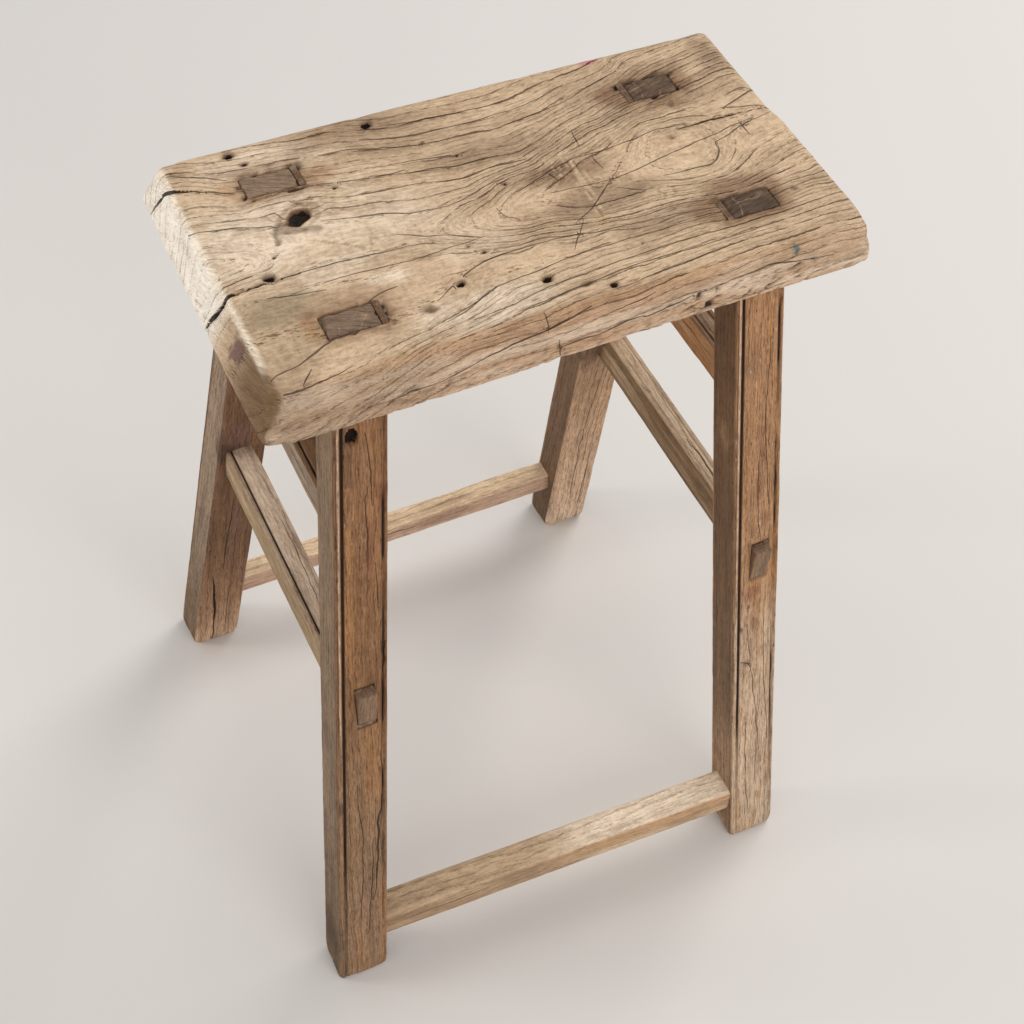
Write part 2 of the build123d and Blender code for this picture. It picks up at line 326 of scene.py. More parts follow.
class Wood:
    """One closed board: its points and faces, how deep it is worn away, and what its material reads."""

    def __init__(self, points, faces):
        self.points = points
        self.faces = faces
        count = len(points)
        self.tint = np.tile(np.array(TAN), (count, 1))
        self.grain = points.copy()
        self.growth = None
        self.fissure = np.tile([9.0, -1.0, 0.0], (count, 1))
        self.grime_and_shade = np.zeros(count)
        self.wear_and_sheen = np.zeros(count)
        self.sink = np.zeros(count)

    def paint(self, other, amount):
        """Moves each point's colour towards another one."""
        self.tint = blend(self.tint, other, amount)

    def grow(self, ring, spacing, strength):
        """Growth rings: each point's ring number, the rings' spacing and how clear they are."""
        self.growth = np.column_stack(np.broadcast_arrays(ring, spacing, strength))

    def darken(self, amount):
        """Makes each point at least this dark: mostly with dirt, and on the stretchers with painted shade
        as well.
        """
        self.grime_and_shade = np.maximum(self.grime_and_shade, amount)


def to_object(name, woods, material):
    """One Blender mesh of several closed boards, with what the material reads from its points."""
    starts = np.cumsum([0] + [len(w.points) for w in woods])
    points = np.concatenate([w.points for w in woods]) * MM
    corners = np.concatenate([w.faces[0] + start for w, start in zip(woods, starts)])
    sizes = np.concatenate([w.faces[1] for w in woods])
    mesh = bpy.data.meshes.new(name)
    mesh.vertices.add(len(points))
    mesh.vertices.foreach_set("co", points.astype(np.float32).ravel())
    mesh.loops.add(len(corners))
    mesh.loops.foreach_set("vertex_index", corners.astype(np.int32))
    mesh.polygons.add(len(sizes))
    mesh.polygons.foreach_set("loop_start", (np.cumsum(sizes) - sizes).astype(np.int32))
    mesh.polygons.foreach_set("use_smooth", np.ones(len(sizes), bool))
    mesh.update(calc_edges=True)
    fields = {
        "tint": [w.tint for w in woods],
        "grain": [w.grain for w in woods],
        "growth": [w.growth for w in woods],
        "fissure": [w.fissure for w in woods],
        "marks": [np.column_stack([w.grime_and_shade, w.wear_and_sheen, 0 * w.wear_and_sheen]) for w in woods],
    }
    for field, values in fields.items():
        attribute = mesh.attributes.new(field, "FLOAT_VECTOR", "POINT")
        attribute.data.foreach_set("vector", np.concatenate(values).astype(np.float32).ravel())
    mesh.materials.append(material)
    thing = bpy.data.objects.new(name, mesh)
    bpy.context.scene.collection.objects.link(thing)
    return thing


# ================================================================ materials
class Value:
    """A number that varies over a surface: a node's output that can be added, multiplied and so on."""

    def __init__(self, graph, socket):
        self.graph = graph
        self.socket = socket

    def __add__(self, other):
        return self.graph.math("ADD", self, other)

    def __sub__(self, other):
        return self.graph.math("SUBTRACT", self, other)

    def __rsub__(self, other):
        return self.graph.math("SUBTRACT", other, self)

    def __mul__(self, other):
        return self.graph.math("MULTIPLY", self, other)

    def __truediv__(self, other):
        return self.graph.math("DIVIDE", self, other)


class Graph:
    """Short ways to add shader nodes. Every input takes a number, a tuple, a socket or a Value."""

    def __init__(self, name):
        self.material = bpy.data.materials.new(name)
        self.material.use_nodes = True
        self.tree = self.material.node_tree
        self.tree.nodes.clear()

    def feed(self, socket, given):
        """Links an input to what is given, or sets it."""
        given = given.socket if isinstance(given, Value) else given
        if isinstance(given, bpy.types.NodeSocket):
            self.tree.links.new(given, socket)
        else:
            socket.default_value = given

    def node(self, kind, inputs=None, **settings):
        made = self.tree.nodes.new(kind)
        for key, setting in settings.items():
            setattr(made, key, setting)
        for key, given in (inputs or {}).items():
            self.feed(made.inputs[key], given)
        return made

    def value(self, output, kind, inputs, **settings):
        return Value(self, self.node(kind, inputs, **settings).outputs[output])

    def attribute(self, name):
        return self.node("ShaderNodeAttribute", attribute_name=name).outputs["Vector"]

    def numbers(self, name):
        """The three numbers that a mesh keeps in one attribute."""
        made = self.node("ShaderNodeSeparateXYZ", {0: self.attribute(name)})
        return [Value(self, socket) for socket in made.outputs]

    def math(self, operation, *values):
        return self.value(0, "ShaderNodeMath", dict(enumerate(values)), operation=operation)

    def ramp(self, value, low, high, to_low=0.0, to_high=1.0):
        inputs = {"Value": value, "From Min": low, "From Max": high, "To Min": to_low, "To Max": to_high}
        return self.value(0, "ShaderNodeMapRange", inputs, interpolation_type="SMOOTHSTEP")

    def scaled(self, vector, scale):
        return self.node("ShaderNodeVectorMath", {0: vector, 1: scale}, operation="MULTIPLY").outputs[0]

    def noise(self, vector, scale, detail=2.0, roughness=0.5):
        inputs = {"Vector": self.scaled(vector, scale), "Scale": 1.0}
        inputs.update({"Detail": detail, "Roughness": roughness})
        return self.value("Fac", "ShaderNodeTexNoise", inputs)

    def mix(self, amount, first, second):
        made = self.node("ShaderNodeMix", {0: amount}, data_type="RGBA")
        pair = [socket for socket in made.inputs if socket.type == "RGBA"]
        self.feed(pair[0], first)
        self.feed(pair[1], second)
        return [socket for socket in made.outputs if socket.type == "RGBA"][0]

    def finish(self, base, roughness, height, specular):
        bump = self.node("ShaderNodeBump", {"Height": height, "Distance": MM, "Strength": 1.0})
        inputs = {
            "Base Color": base,
            "Roughness": roughness,
            "Normal": bump.outputs[0],
            "Specular IOR Level": specular,
        }
        shader = self.node("ShaderNodeBsdfPrincipled", inputs)
        output = self.node("ShaderNodeOutputMaterial")
        self.tree.links.new(shader.outputs[0], output.inputs["Surface"])
        return self.material


def wood_material(name, ring_strength, fibre_strength, pore_strength, bump_strength):
    """Bare old elm: colour, roughness and relief from fibres, pores, growth rings and marks."""
    g = Graph(name)
    tint = g.attribute("tint")
    grain = g.attribute("grain")
    grime_and_shade, wear_and_sheen, _ = g.numbers("marks")
    phase, spacing, strength = g.numbers("growth")
    side, half, _ = g.numbers("fissure")

    broad = g.noise(grain, (0.018, 0.16, 0.16), 3.0)
    fine = g.noise(grain, (0.11, 1.5, 1.5), 4.0, 0.62)
    ripple = g.noise(grain, (0.42, 0.8, 0.8), 4.0, 0.65)
    mottle = g.noise(grain, (0.11, 0.13, 0.13), 3.0, 0.6)
    pore_noise = g.noise(grain, (0.22, 2.6, 2.6), 2.0)
    breaks = g.noise(grain, (0.05, 0.2, 0.2), 3.0, 0.6)
    wander = g.noise(grain, (0.05, 0.08, 0.08), 2.0)

    # Growth rings: a thin dark line at each whole phase, of a width in millimetres, and a faint
    # one half way between them
    wobble = (ripple - 0.5) * 1.5 + (wander - 0.5) * 4.0
    turned = phase + wobble / spacing
    saw = g.math("FRACT", turned)
    half_way = g.math("ABSOLUTE", saw - 0.5)
    from_line = (0.5 - half_way) * spacing
    ring_number = g.math("ROUND", turned)
    own = g.value("Value", "ShaderNodeTexWhiteNoise", {"W": ring_number}, noise_dimensions="1D")
    width = g.ramp(breaks, 0.38, 0.64, 0.0, 0.3) * (own + 0.25)
    line = g.ramp(from_line, width, width + 0.3, 1.0, 0.0)
    line = line * g.ramp(breaks, 0.38, 0.52, 0.12, 1.0) * (own * 0.75 + 0.4) * strength
    faint = g.ramp(half_way * spacing, 0.08, 0.42, 0.5, 0.0)
    faint = faint * (strength * g.ramp(breaks, 0.45, 0.55))
    line = g.math("MAXIMUM", line, faint)
    late = g.ramp(saw, 0.35, 0.95) * strength
    pores = g.ramp(pore_noise, 0.55, 0.66) * (g.ramp(saw, 0.75, 0.97) + 0.3) * pore_strength

    # Cracks: dark between their edges, ragged and here and there closed
    open_half = half * g.ramp(breaks, 0.34, 0.6, 0.55, 1.25) + (ripple - 0.5) * 0.35
    crack = g.ramp(g.math("ABSOLUTE", side), open_half - 0.12, open_half + 0.2, 1.0, 0.0)
    crack = crack * g.math("GREATER_THAN", half, 0.02)

    # From shadowed to lit wood
    shade = g.ramp(broad, 0.3, 0.7, 0.60, 0.86) + g.ramp(fine, 0.3, 0.7, -fibre_strength, fibre_strength)
    shade = shade + g.ramp(ripple, 0.3, 0.7, -0.12, 0.12) + g.ramp(mottle, 0.3, 0.7, -0.09, 0.09)
    shade = shade - late * 0.10 - pores * 0.45 + wear_and_sheen * 0.22
    shade = g.value(0, "ShaderNodeClamp", {"Value": shade})
    mixed = g.mix(shade, g.scaled(tint, (0.42, 0.33, 0.25)), g.scaled(tint, (1.26, 1.26, 1.26)))
    mixed = g.mix(line * ring_strength, mixed, g.scaled(tint, (0.2, 0.135, 0.09)))

    # Dirt and painted shade, soot and cracks over it
    mixed = g.mix(grime_and_shade * g.ramp(fine, 0.35, 0.7, 0.7, 1.0), mixed, (*DARK, 1.0))
    mixed = g.mix(g.ramp(grime_and_shade, 0.72, 1.0) * 0.85, mixed, (*BLACK, 1.0))
    mixed = g.mix(crack * g.ramp(half, 0.25, 0.9, 0.74, 0.95), mixed, (*BLACK, 1.0))

    roughness = g.ramp(fine, 0.3, 0.7, 0.70, 0.9) + wear_and_sheen * -0.22
    height = fine * (0.30 * bump_strength) + ripple * (0.26 * bump_strength)
    height = height - pores * (0.2 * bump_strength) - line * (0.40 * bump_strength) - crack * 0.6
    return g.finish(mixed, roughness, height, 0.3)


def wedge_material():
    """Dark wood for the wedges, which keep their CAD shape, with grain in object coordinates."""
    g = Graph("wedge_wood")
    place = g.scaled(g.node("ShaderNodeTexCoord").outputs["Object"], (1 / MM, 1 / MM, 1 / MM))
    fibres = g.noise(place, (0.9, 0.9, 0.12), 4.0, 0.6)
    blotches = g.noise(place, (0.2, 0.2, 0.2), 2.0)
    mixed = g.mix(g.ramp(fibres, 0.3, 0.7), (*DARK, 1.0), (*BROWN, 1.0))
    mixed = g.mix(g.ramp(blotches, 0.45, 0.7, 0.0, 0.7), mixed, (*GREY, 1.0))
    roughness = g.ramp(fibres, 0.3, 0.7, 0.75, 0.92)
    return g.finish(mixed, roughness, fibres * 0.3, 0.3)


def floor_material():
    """Pale matt paint."""
    g = Graph("floor_paint")
    place = g.node("ShaderNodeTexCoord").outputs["Object"]
    cloud = g.noise(place, (2.0, 2.0, 2.0), 2.0)
    paler = tuple(c * 1.02 for c in FLOOR_COLOUR)
    mixed = g.mix(cloud, (*FLOOR_COLOUR, 1.0), (*paler, 1.0))
    return g.finish(mixed, g.ramp(cloud, 0.3, 0.7, 0.55, 0.6), cloud * 0.2, 0.3)


# ================================================================ where the legs and bars run
def node_points(node):
    """A CAD node's points, in millimetres."""
    return np.array([v.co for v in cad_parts[node].data.vertices]) / MM


class LegLine:
    """A leg's slanted centre line and the directions across it, from its CAD node."""

    def __init__(self, name):
        points = node_points("leg_" + name)
        self.foot = self.middle(points, 0.0)
        self.top = self.middle(points, UNDERSIDE)
        run = self.top - self.foot
        self.along = run / np.linalg.norm(run)
        across = np.array([1.0, 0, 0]) - self.along * self.along[0]
        self.across = across / np.linalg.norm(across)
        self.out = np.cross(self.along, self.across)
        self.outer = -1 if name.startswith("front") else 1
        self.inner_end = -1 if self.foot[0] > 0 else 1

    @staticmethod
    def middle(points, z):
        """The centre of the widest outline at a height."""
        level = points[np.abs(points[:, 2] - z) < 0.05]
        return (level.min(0) + level.max(0)) / 2

    def world(self, local):
        """Points from (height, across, out), with level sections."""
        height, a, b = local.T
        centre = self.foot + (height / UNDERSIDE)[:, None] * (self.top - self.foot)
        moved = a[:, None] * self.across + b[:, None] * self.out
        level = moved[:, 2] / self.along[2]
        return centre + moved - level[:, None] * self.along

    def local(self, points):
        """(height, across, out) of points."""
        height = points[:, 2]
        centre = self.foot + (height / UNDERSIDE)[:, None] * (self.top - self.foot)
        off = points - centre
        return np.column_stack([height, off @ self.across, off @ self.out])

    def directions(self, away):
        """World directions of local ones."""
        return away @ np.array([self.along, self.across, self.out])


class BarLine:
    """A stretcher's middle, directions, length and section, from its CAD node."""

    def __init__(self, node):
        points = node_points(node)
        self.middle = (points.min(0) + points.max(0)) / 2
        off = points - self.middle
        along = np.linalg.svd(off, full_matrices=False)[2][0]
        self.along = along * np.sign(along[np.argmax(np.abs(along))])
        out = np.cross(self.along, [0, 0, 1.0])
        out = out / np.linalg.norm(out)
        self.out = out * np.sign(out @ np.array([*self.middle[:2], 0]))
        self.up = np.cross(self.out, self.along)
        self.up = self.up * np.sign(self.up[2])
        local = off @ np.array([self.along, self.out, self.up]).T
        self.low, self.high = local.min(0), local.max(0)

    def world(self, local):
        return self.middle + local @ np.array([self.along, self.out, self.up])

    def local(self, points):
        return (points - self.middle) @ np.array([self.along, self.out, self.up]).T


# ================================================================ the seat
SEAT_EDGE = 5.5
SEAT_UNDER_EDGE = 4.0
SEAT_BACK_CORNER = 9.0
END_BREAK = 478.0
LEFT_LEAN = 8.5
RIGHT_LEAN = 4.5

# Growth rings on the seat's top: a ring's number, and points (x, y) on it. The rings close round
# a heart on the right, run to points on the left of it, and open again at the left end. Beyond the
# front edge they carry on down the plank's side.
SEAT_GROWTH = [
    (0.3, [(105, 6)]),
    (1, [(85, 5), (95, 20), (112, 24), (126, 20), (130, 3), (118, -12), (98, -12)]),
    (2, [(62, -2), (78, 14), (100, 29), (135, 25), (140, 0), (120, -19), (95, -19), (75, -13)]),
    (3, [(18, -8), (30, 5), (50, 16), (80, 26), (110, 33), (165, 40)]),
    (3, [(165, -5), (120, -25), (60, -20), (30, -17)]),
    (4, [(-10, -6), (0, 3), (19, 9), (38, 15), (75, 30), (110, 38), (165, 47)]),
    (4, [(165, -14), (100, -28), (38, -25), (0, -17)]),
    (5, [(-29, -9), (-20, 0), (-5, 7), (12, 13), (38, 21), (70, 33), (110, 42), (165, 53)]),
    (5, [(165, -22), (100, -32), (38, -29), (0, -24), (-18, -19)]),
    (5, [(-167, 16), (-152, 11), (-143, 6), (-152, 1), (-167, -1)]),
    (6, [(-46, -9), (-38, 0), (-20, 8), (0, 14.5), (38, 25), (70, 37), (110, 46), (165, 58)]),
    (6, [(165, -30), (100, -35), (38, -32), (0, -27), (-30, -19), (-40, -14)]),
    (6, [(-167, 25), (-150, 20), (-135, 12), (-128, 6), (-135, 0), (-150, -4), (-167, -7)]),
    (6.45, [(-100, 5), (-75, 0), (-60, -3)]),
    (7, [(-167, 38), (-145, 33), (-125, 28), (-98, 22), (-69, 15.5), (-41, 8.5), (-17, 12), (3, 19)]),
    (7, [(38, 28.5), (75, 41), (110, 50), (165, 64)]),
    (7, [(-170, -16), (-157, -11.5), (-128, -11), (-90, -12), (-60, -13), (-40, -21), (-5, -30)]),
    (7, [(38, -34.5), (100, -38), (165, -37)]),
    (8, [(-167, 43), (-140, 38), (-118, 37), (-90, 29), (-60, 23), (-40, 19.5), (-17, 19), (1, 23.5)]),
    (8, [(38, 32), (75, 45), (100, -41), (38, -37), (5, -33), (-20, -32), (-47, -25), (-73, -24)]),
    (8, [(-115, -24), (-144, -24), (-167, -28)]),
    (9, [(-167, 49), (-135, 43), (-110, 43), (-79, 34.6), (-38, 30.6), (-16, 26), (1, 28.7), (21, 30)]),
    (9, [(38, 36), (75, 49), (110, 60), (165, -44), (82, -43), (38, -39.5), (1, -35.5), (-21, -36)]),
    (9, [(-36, -38.5), (-54, -47), (-65, -54), (-80, -58), (-112, -58), (-140, -52), (-167, -55)]),
    (10, [(-167, 56), (-140, 49), (-115, 50), (-91, 49.5), (-62, 44.5), (-25, 38.5), (8, 36.6), (38, 41)]),
    (10, [(75, 55), (172, -50), (100, -50), (38, -50), (10, -51.4), (-8, -53.8), (-36, -58), (-54, -66)]),
    (10, [(-80, -73.5), (-122, -84), (-165, -92)]),
    (11, [(-167, 72), (-150, 66), (-137, 60), (-112, 58), (-85, 56), (-47, 50), (-12, 45), (1, 46)]),
    (11, [(38, 48), (70, 58), (110, 72), (170, -55), (100, -56), (40, -57.5), (0, -59.5), (-30, -64)]),
    (11, [(-70, -76), (-110, -88)]),
    (12, [(-165, 79), (-140, 69), (-110, 67), (-80, 63), (-30, 54), (1, 52), (38, 54), (75, 64)]),
    (12, [(170, -59.5), (133, -61.5), (75, -61.5), (38, -63.4), (1, -66), (-36, -72.6), (-74, -80)]),
    (13, [(-165, 88), (-110, 75), (-80, 71), (-41, 62.8), (-17, 59.5), (19, 58), (49, 62), (104, 79)]),
    (13, [(130, 88), (167, -66), (75, -68.5), (38, -69.4), (1, -73.5), (-27, -77), (-60, -84)]),
    (14, [(-110, 84), (-65, 78), (-36, 70), (1, 68), (38, 70), (69, 78.5), (110, 92)]),
    (14, [(170, -73), (104, -74), (47, -79), (25, -81), (-25, -88)]),
    (15, [(-73, 88), (-17, 79.7), (19, 77.5), (54, 84), (170, -80), (130, -81), (84, -84), (30, -90)]),
    (16, [(-60, 93), (-36, 88), (1, 86.5), (38, 88), (-165, 110), (165, 110)]),
    (16, [(-150, -135), (-100, -112), (0, -98), (84, -92), (170, -88)]),
    (18, [(-120, -135), (-40, -112), (60, -104), (170, -100)]),
    (19, [(-80, 115), (0, 108), (80, 118)]),
    (20, [(-60, -128), (40, -118), (170, -112)]),
]

# (width, depth, route) of the seat's cracks. A point (x, y) is on the top, and a point (x, y, z) has
# its own height. The first two cracks are the split at the left end.
SEAT_CRACKS = [
    (2.3, 6.0, [(-176, -6, 469), (-175, -10, 481), (-172, -14, 490), (-169, -16, 496), (-165, -15, 499)]),
    (2.1, 5.0, [(-168, -15.5, 497), (-162, -13.5), (-153, -11.3), (-142, -11.5)]),
    (1.4, 3.0, [(-142, -11.5), (-134, -11.2), (-125, -11)]),
    (1.8, 4.0, [(-176, 80, 482), (-172, 76, 492), (-168, 73), (-158, 70), (-148, 65)]),
    (0.9, 2.0, [(-152, 67), (-145, 64), (-137, 59.5)]),
    (0.6, 1.5, [(-130, -11), (-108, -10.5), (-85, -11.5), (-60, -13)]),
    (0.6, 1.0, [(-162, 84), (-148, 77.5), (-137, 71)]),
    (0.7, 1.0, [(-168, 38), (-148, 33.5), (-125, 27)]),
    (0.7, 1.0, [(-98, 21.5), (-86, 18.5), (-69, 15.5), (-54, 10.3), (-41, 8.5)]),
    (0.5, 1.0, [(-41, 8.5), (-28, 9.5), (-17, 12), (-6, 16.5), (4, 18)]),
    (0.7, 1.0, [(-91, 49.5), (-80, 47), (-64, 44.5)]),
    (0.7, 1.0, [(-62, 45.5), (-50, 43.5), (-44, 43.5)]),
    (0.8, 1.0, [(-40, 40), (-25, 39), (-15, 36)]),
    (0.6, 1.0, [(-15, 36), (-2, 37), (9, 36.5)]),
    (0.6, 1.0, [(-79, 35), (-64, 32.5), (-38, 30.5)]),
    (0.6, 1.0, [(-30, 28), (-15, 26), (0, 28.5)]),
    (0.8, 1.0, [(3, 29), (13, 28.5), (22, 28.5)]),
    (0.6, 1.0, [(-80, 71), (-65, 70), (-54, 67.5), (-41, 62.8), (-17, 59.5)]),
    (0.5, 1.0, [(-17, 59.5), (5, 58.7), (19, 58), (34, 60), (62, 64.5)]),
    (0.5, 1.0, [(60, 64), (75, 69), (90, 74.5), (104, 79.5)]),
    (0.5, 1.0, [(-54, 75.5), (-36, 70), (0, 68.3), (38, 70), (69, 78.5)]),
    (0.5, 1.0, [(-36, 82), (-17, 79.7), (19, 77.5), (38, 78.5)]),
    (0.6, 1.0, [(-47, 50.5), (-30, 48.5), (-12, 45.5), (0, 46.5)]),
    (0.6, 1.0, [(50, 19), (75, 20), (100, 24), (119, 24)]),
    (1.3, 2.5, [(115, 21), (132, 21), (150, 21), (172, 19.5)]),
    (0.9, 1.0, [(175, 39, 494), (168, 35), (157, 31), (148, 28)]),
    (0.8, 1.0, [(148, 28), (158, 25), (172, 21)]),
    (0.6, 1.0, [(25, -2), (60, -4), (82, -0.7), (104, 4), (130, 8.5), (160, 14.5)]),
    (0.7, 1.0, [(88, -12), (104, -13), (118, -13), (127, -5), (128, 2)]),
    (0.6, 1.0, [(128, 2), (140, 6), (152, 11), (170, 15)]),
    (0.7, 1.0, [(149.5, 3.5), (150, 13.5)]),
    (0.6, 1.0, [(-9, -4), (-8, -10), (-3, -14)]),
    (0.6, 1.0, [(-65, -3), (-55, -8), (-42, -13)]),
    (0.5, 1.0, [(-115, -22.5), (-95, -22), (-72, -23.5), (-47, -22), (-27, -21)]),
    (0.6, 1.0, [(-145, -23), (-118, -27)]),
    (0.7, 1.0, [(-98, -41.5), (-91, -39), (-84, -38)]),
    (1.0, 2.0, [(-33, -29), (-25, -31.5)]),
    (0.8, 1.5, [(-167, -75), (-146, -70.5), (-130, -62.5), (-122, -60)]),
    (0.7, 1.0, [(-124, -61.5), (-112, -60), (-97, -58)]),
    (0.8, 1.0, [(-169, -85, 499), (-158, -87, 499), (-144, -86), (-126, -82)]),
    (1.0, 1.5, [(-152, -85), (-145, -77)]),
    (0.7, 1.0, [(-66, -54), (-54, -47), (-36, -38.5), (-21, -36), (1, -35.5)]),
    (0.5, 1.0, [(1, -35.5), (20, -37), (38, -39.5), (82, -42)]),
    (0.6, 1.0, [(-67, -70), (-54, -66), (-36, -58), (-8, -53.8), (10, -51.4)]),
    (0.4, 1.0, [(10, -51.4), (38, -50), (74, -50), (100, -50)]),
    (0.6, 1.0, [(-54, -74.4), (-36, -72.6), (-17, -69), (1, -66), (17, -64.5)]),
    (0.5, 1.0, [(17, -64.5), (38, -63.4), (75, -61.5), (133, -61.5), (172, -59.3)]),
    (0.5, 1.0, [(-27, -77), (1, -73.5), (38, -69.4), (75, -69), (120, -68)]),
    (0.6, 1.0, [(25, -81.4), (47, -79), (84, -75.5), (104, -74)]),
    (1.0, 2.0, [(-80, -91, 480), (-60, -91, 486), (-40, -91, 492), (-14, -90.5, 497), (4, -88)]),
    (0.8, 1.5, [(-14, -91, 480), (10, -91, 481), (26, -91, 484), (36, -91, 484)]),
    (1.0, 2.0, [(36, -91, 483), (52, -91, 486), (64, -91, 488)]),
    (0.8, 1.5, [(66, -91, 487), (84, -91, 491), (110, -91, 494), (124, -91, 492), (150, -91, 488)]),
    (0.6, 1.0, [(-120, -91, 476), (-96, -91, 479), (-80, -91, 480)]),
    (0.5, 1.0, [(-10, -91, 489), (10, -91, 493), (40, -90, 498)]),
]

# Scratches and knife cuts, first the light ones and then the dark ones: (width, depth, route)
SEAT_CUTS = [
    (0.9, 0.5, [(42.5, 24), (44.5, 2), (41, -30)]),
    (0.8, 0.5, [(33, 24), (36, 10)]),
    (0.8, 0.5, [(46, 16), (46, -4)]),
    (0.8, 0.4, [(78, -20), (81, -27)]),
    (0.8, 0.4, [(86, -20), (88, -27)]),
    (0.8, 0.4, [(-110, 10), (-86, -6)]),
    (0.8, 0.4, [(-78, 6), (-84, -8)]),
    (0.8, 0.4, [(-66, 2), (-52, -6)]),
]
SEAT_DARK_CUTS = [
    (0.6, 0.5, [(68, 4), (50, -12), (38, -22), (26, -28)]),
    (0.5, 0.5, [(30, -28), (16, -46)]),
    (0.6, 0.5, [(8, 6), (30, 14), (60, 22)]),
    (0.6, 0.5, [(28, 14), (31, 7)]),
    (0.6, 0.5, [(57, 38), (56, 30)]),
    (0.7, 0.5, [(58, 15), (59, 8)]),
    (0.6, 0.5, [(60, -12), (72, -18)]),
    (0.6, 0.5, [(-21, -85), (-21, -91, 495)]),
    (0.8, 0.5, [(-14, -91, 484), (-13, -91, 474)]),
]

# Nail holes: (x, y, radius, depth)
SEAT_HOLES = [
    (-128, 89, 3.1, 3.5), (-48, 86, 3.0, 3.5), (-141, -8, 3.0, 3.5), (-51, -48, 2.6, 3.0),
    (-73, -60, 3.0, 0.8), (-8, -61.5, 2.9, 3.5), (22, -78, 2.5, 2.2), (9, -72.5, 2.2, 0.5),
    (-122, 79, 2.1, 1.0), (-83, 44, 1.5, 1.3), (-29, -31, 1.7, 1.3), (107, 15.5, 1.7, 0.5),
    (-133, 4.5, 1.1, 1.2), (3.5, 14, 1.4, 1.0), (-36, -24, 1.1, 0.8), (-25, 61, 1.1, 1.3),
    (51, -55.5, 0.9, 1.0), (150, -47, 1.8, 0.4), (121, 41.5, 1.8, 0.4), (-11, 45, 1.0, 1.0),
]
KNOT = (-110, 28.5)
KNOT_RADII = (9.0, 5.4)
KNOT_TURN = math.radians(32)
KNOT_TAIL = [(-117, 27), (-123, 27), (-126, 22), (-127, 13)]
KNOT_SMUDGE = [(-122, 22), (-114, 20), (-104, 17)]

# Large soft patches of colour on the top: (x, y, half length, half width, colour, strength)
STAIN = colour(142, 110, 82)
DIM = colour(150, 124, 100)
SEAT_PATCHES = [
    (-140, 20, 50, 40, CREAM, 0.5), (-84, -30, 15, 7, CREAM, 0.6), (-45, -70, 52, 17, CREAM, 0.5),
    (-80, 10, 52, 30, CREAM, 0.36), (-112, 76, 44, 18, CREAM, 0.4), (-112, -16, 30, 12, CREAM, 0.4),
    (-35, -20, 34, 22, CREAM, 0.2), (-90, 40, 34, 14, CREAM, 0.3),
    (108, 2, 24, 15, PALE, 0.45), (-80, 40, 30, 12, PALE, 0.3),
    (30, 76, 40, 10, PALE, 0.2), (-78, 84, 26, 12, BROWN, 0.4), (-45, 86, 34, 12, DIM, 0.6),
    (-40, 68, 40, 14, DIM, 0.4), (5, 42, 50, 13, DIM, 0.6), (38, 10, 34, 12, BROWN, 0.7),
    (48, -16, 36, 14, DIM, 0.75), (70, -45, 36, 12, DIM, 0.5), (-145, -33, 26, 15, GREEN_GREY, 0.7),
    (-150, -58, 24, 18, GREEN_GREY, 0.3), (-108, -38, 30, 12, DIM, 0.35), (164, 72, 12, 20, DIM, 0.7),
    (100, 70, 50, 20, DIM, 0.35), (140, 48, 34, 12, DIM, 0.3), (95, 44, 30, 10, DIM, 0.45),
    (-86, 57, 9, 8, ORANGE, 0.4), (-138, 62, 6, 10, ORANGE, 0.4), (-135, -50, 5, 10, ORANGE, 0.45),
    (-96, -50, 6, 9, ORANGE, 0.2), (90, 59, 10, 11, STAIN, 0.8), (138, 60, 6, 12, STAIN, 0.5),
    (116, 42, 20, 5, STAIN, 0.45), (94, -46, 10, 12, STAIN, 0.7), (140, -44, 9, 13, STAIN, 0.6),
    (118, -32, 26, 8, STAIN, 0.65), (118, -60, 26, 6, STAIN, 0.45), (0, -87, 170, 6, ORANGE, 0.5),
    (-160, -82, 20, 16, DIM, 0.5), (20, -84, 60, 6, STAIN, 0.2), (150, -80, 30, 8, STAIN, 0.15),
]


def seat_growth(points):
    """Ring number, ring spacing in millimetres and how clear the rings are, at the seat's points."""
    knots = [(x, y, ring) for ring, line in SEAT_GROWTH for x, y in line]
    x, y, z = points.T
    over = np.stack([x, y + 0.8 * (SEAT_TOP - z) * np.tanh(y / 40)], 1)
    ring = thin_plate(over, knots)
    rise = [thin_plate(over + step, knots) - ring for step in ([0.5, 0.0], [0.0, 0.5])]
    spacing = 0.5 / np.maximum(np.hypot(*rise), 0.01)
    clear = (0.5 + 0.5 * smooth(1.2, 3.0, ring)) * (1 - smooth(8.5, 13, spacing))
    return ring, np.minimum(spacing, 14.0), clear


def seat_underside(x, y):
    """Height of the worn underside: planed away along the front and under both ends."""
    front, back = SEAT_LOW[1], SEAT_HIGH[1]
    right_share = smooth(-160, 150, x)
    front_lift = (1.0 + 7.0 * right_share) * (1 - smooth(0, 17, y - front))
    front_lift = front_lift + 1.6 * np.exp(-(((x + 12) / 4) ** 2)) * (1 - smooth(0, 8, y - front))
    right_lift = 9.5 * smooth(150, 176, x) * (1 - 0.4 * (y - front) / (back - front))
    left_lift = (4.5 + 9.5 * smooth(-50, 97, y)) * (1 - smooth(-176, -156, x))
    back_lift = 2.5 * smooth(back - 14, back, y)
    return UNDERSIDE + np.maximum.reduce([front_lift, right_lift, left_lift, back_lift])


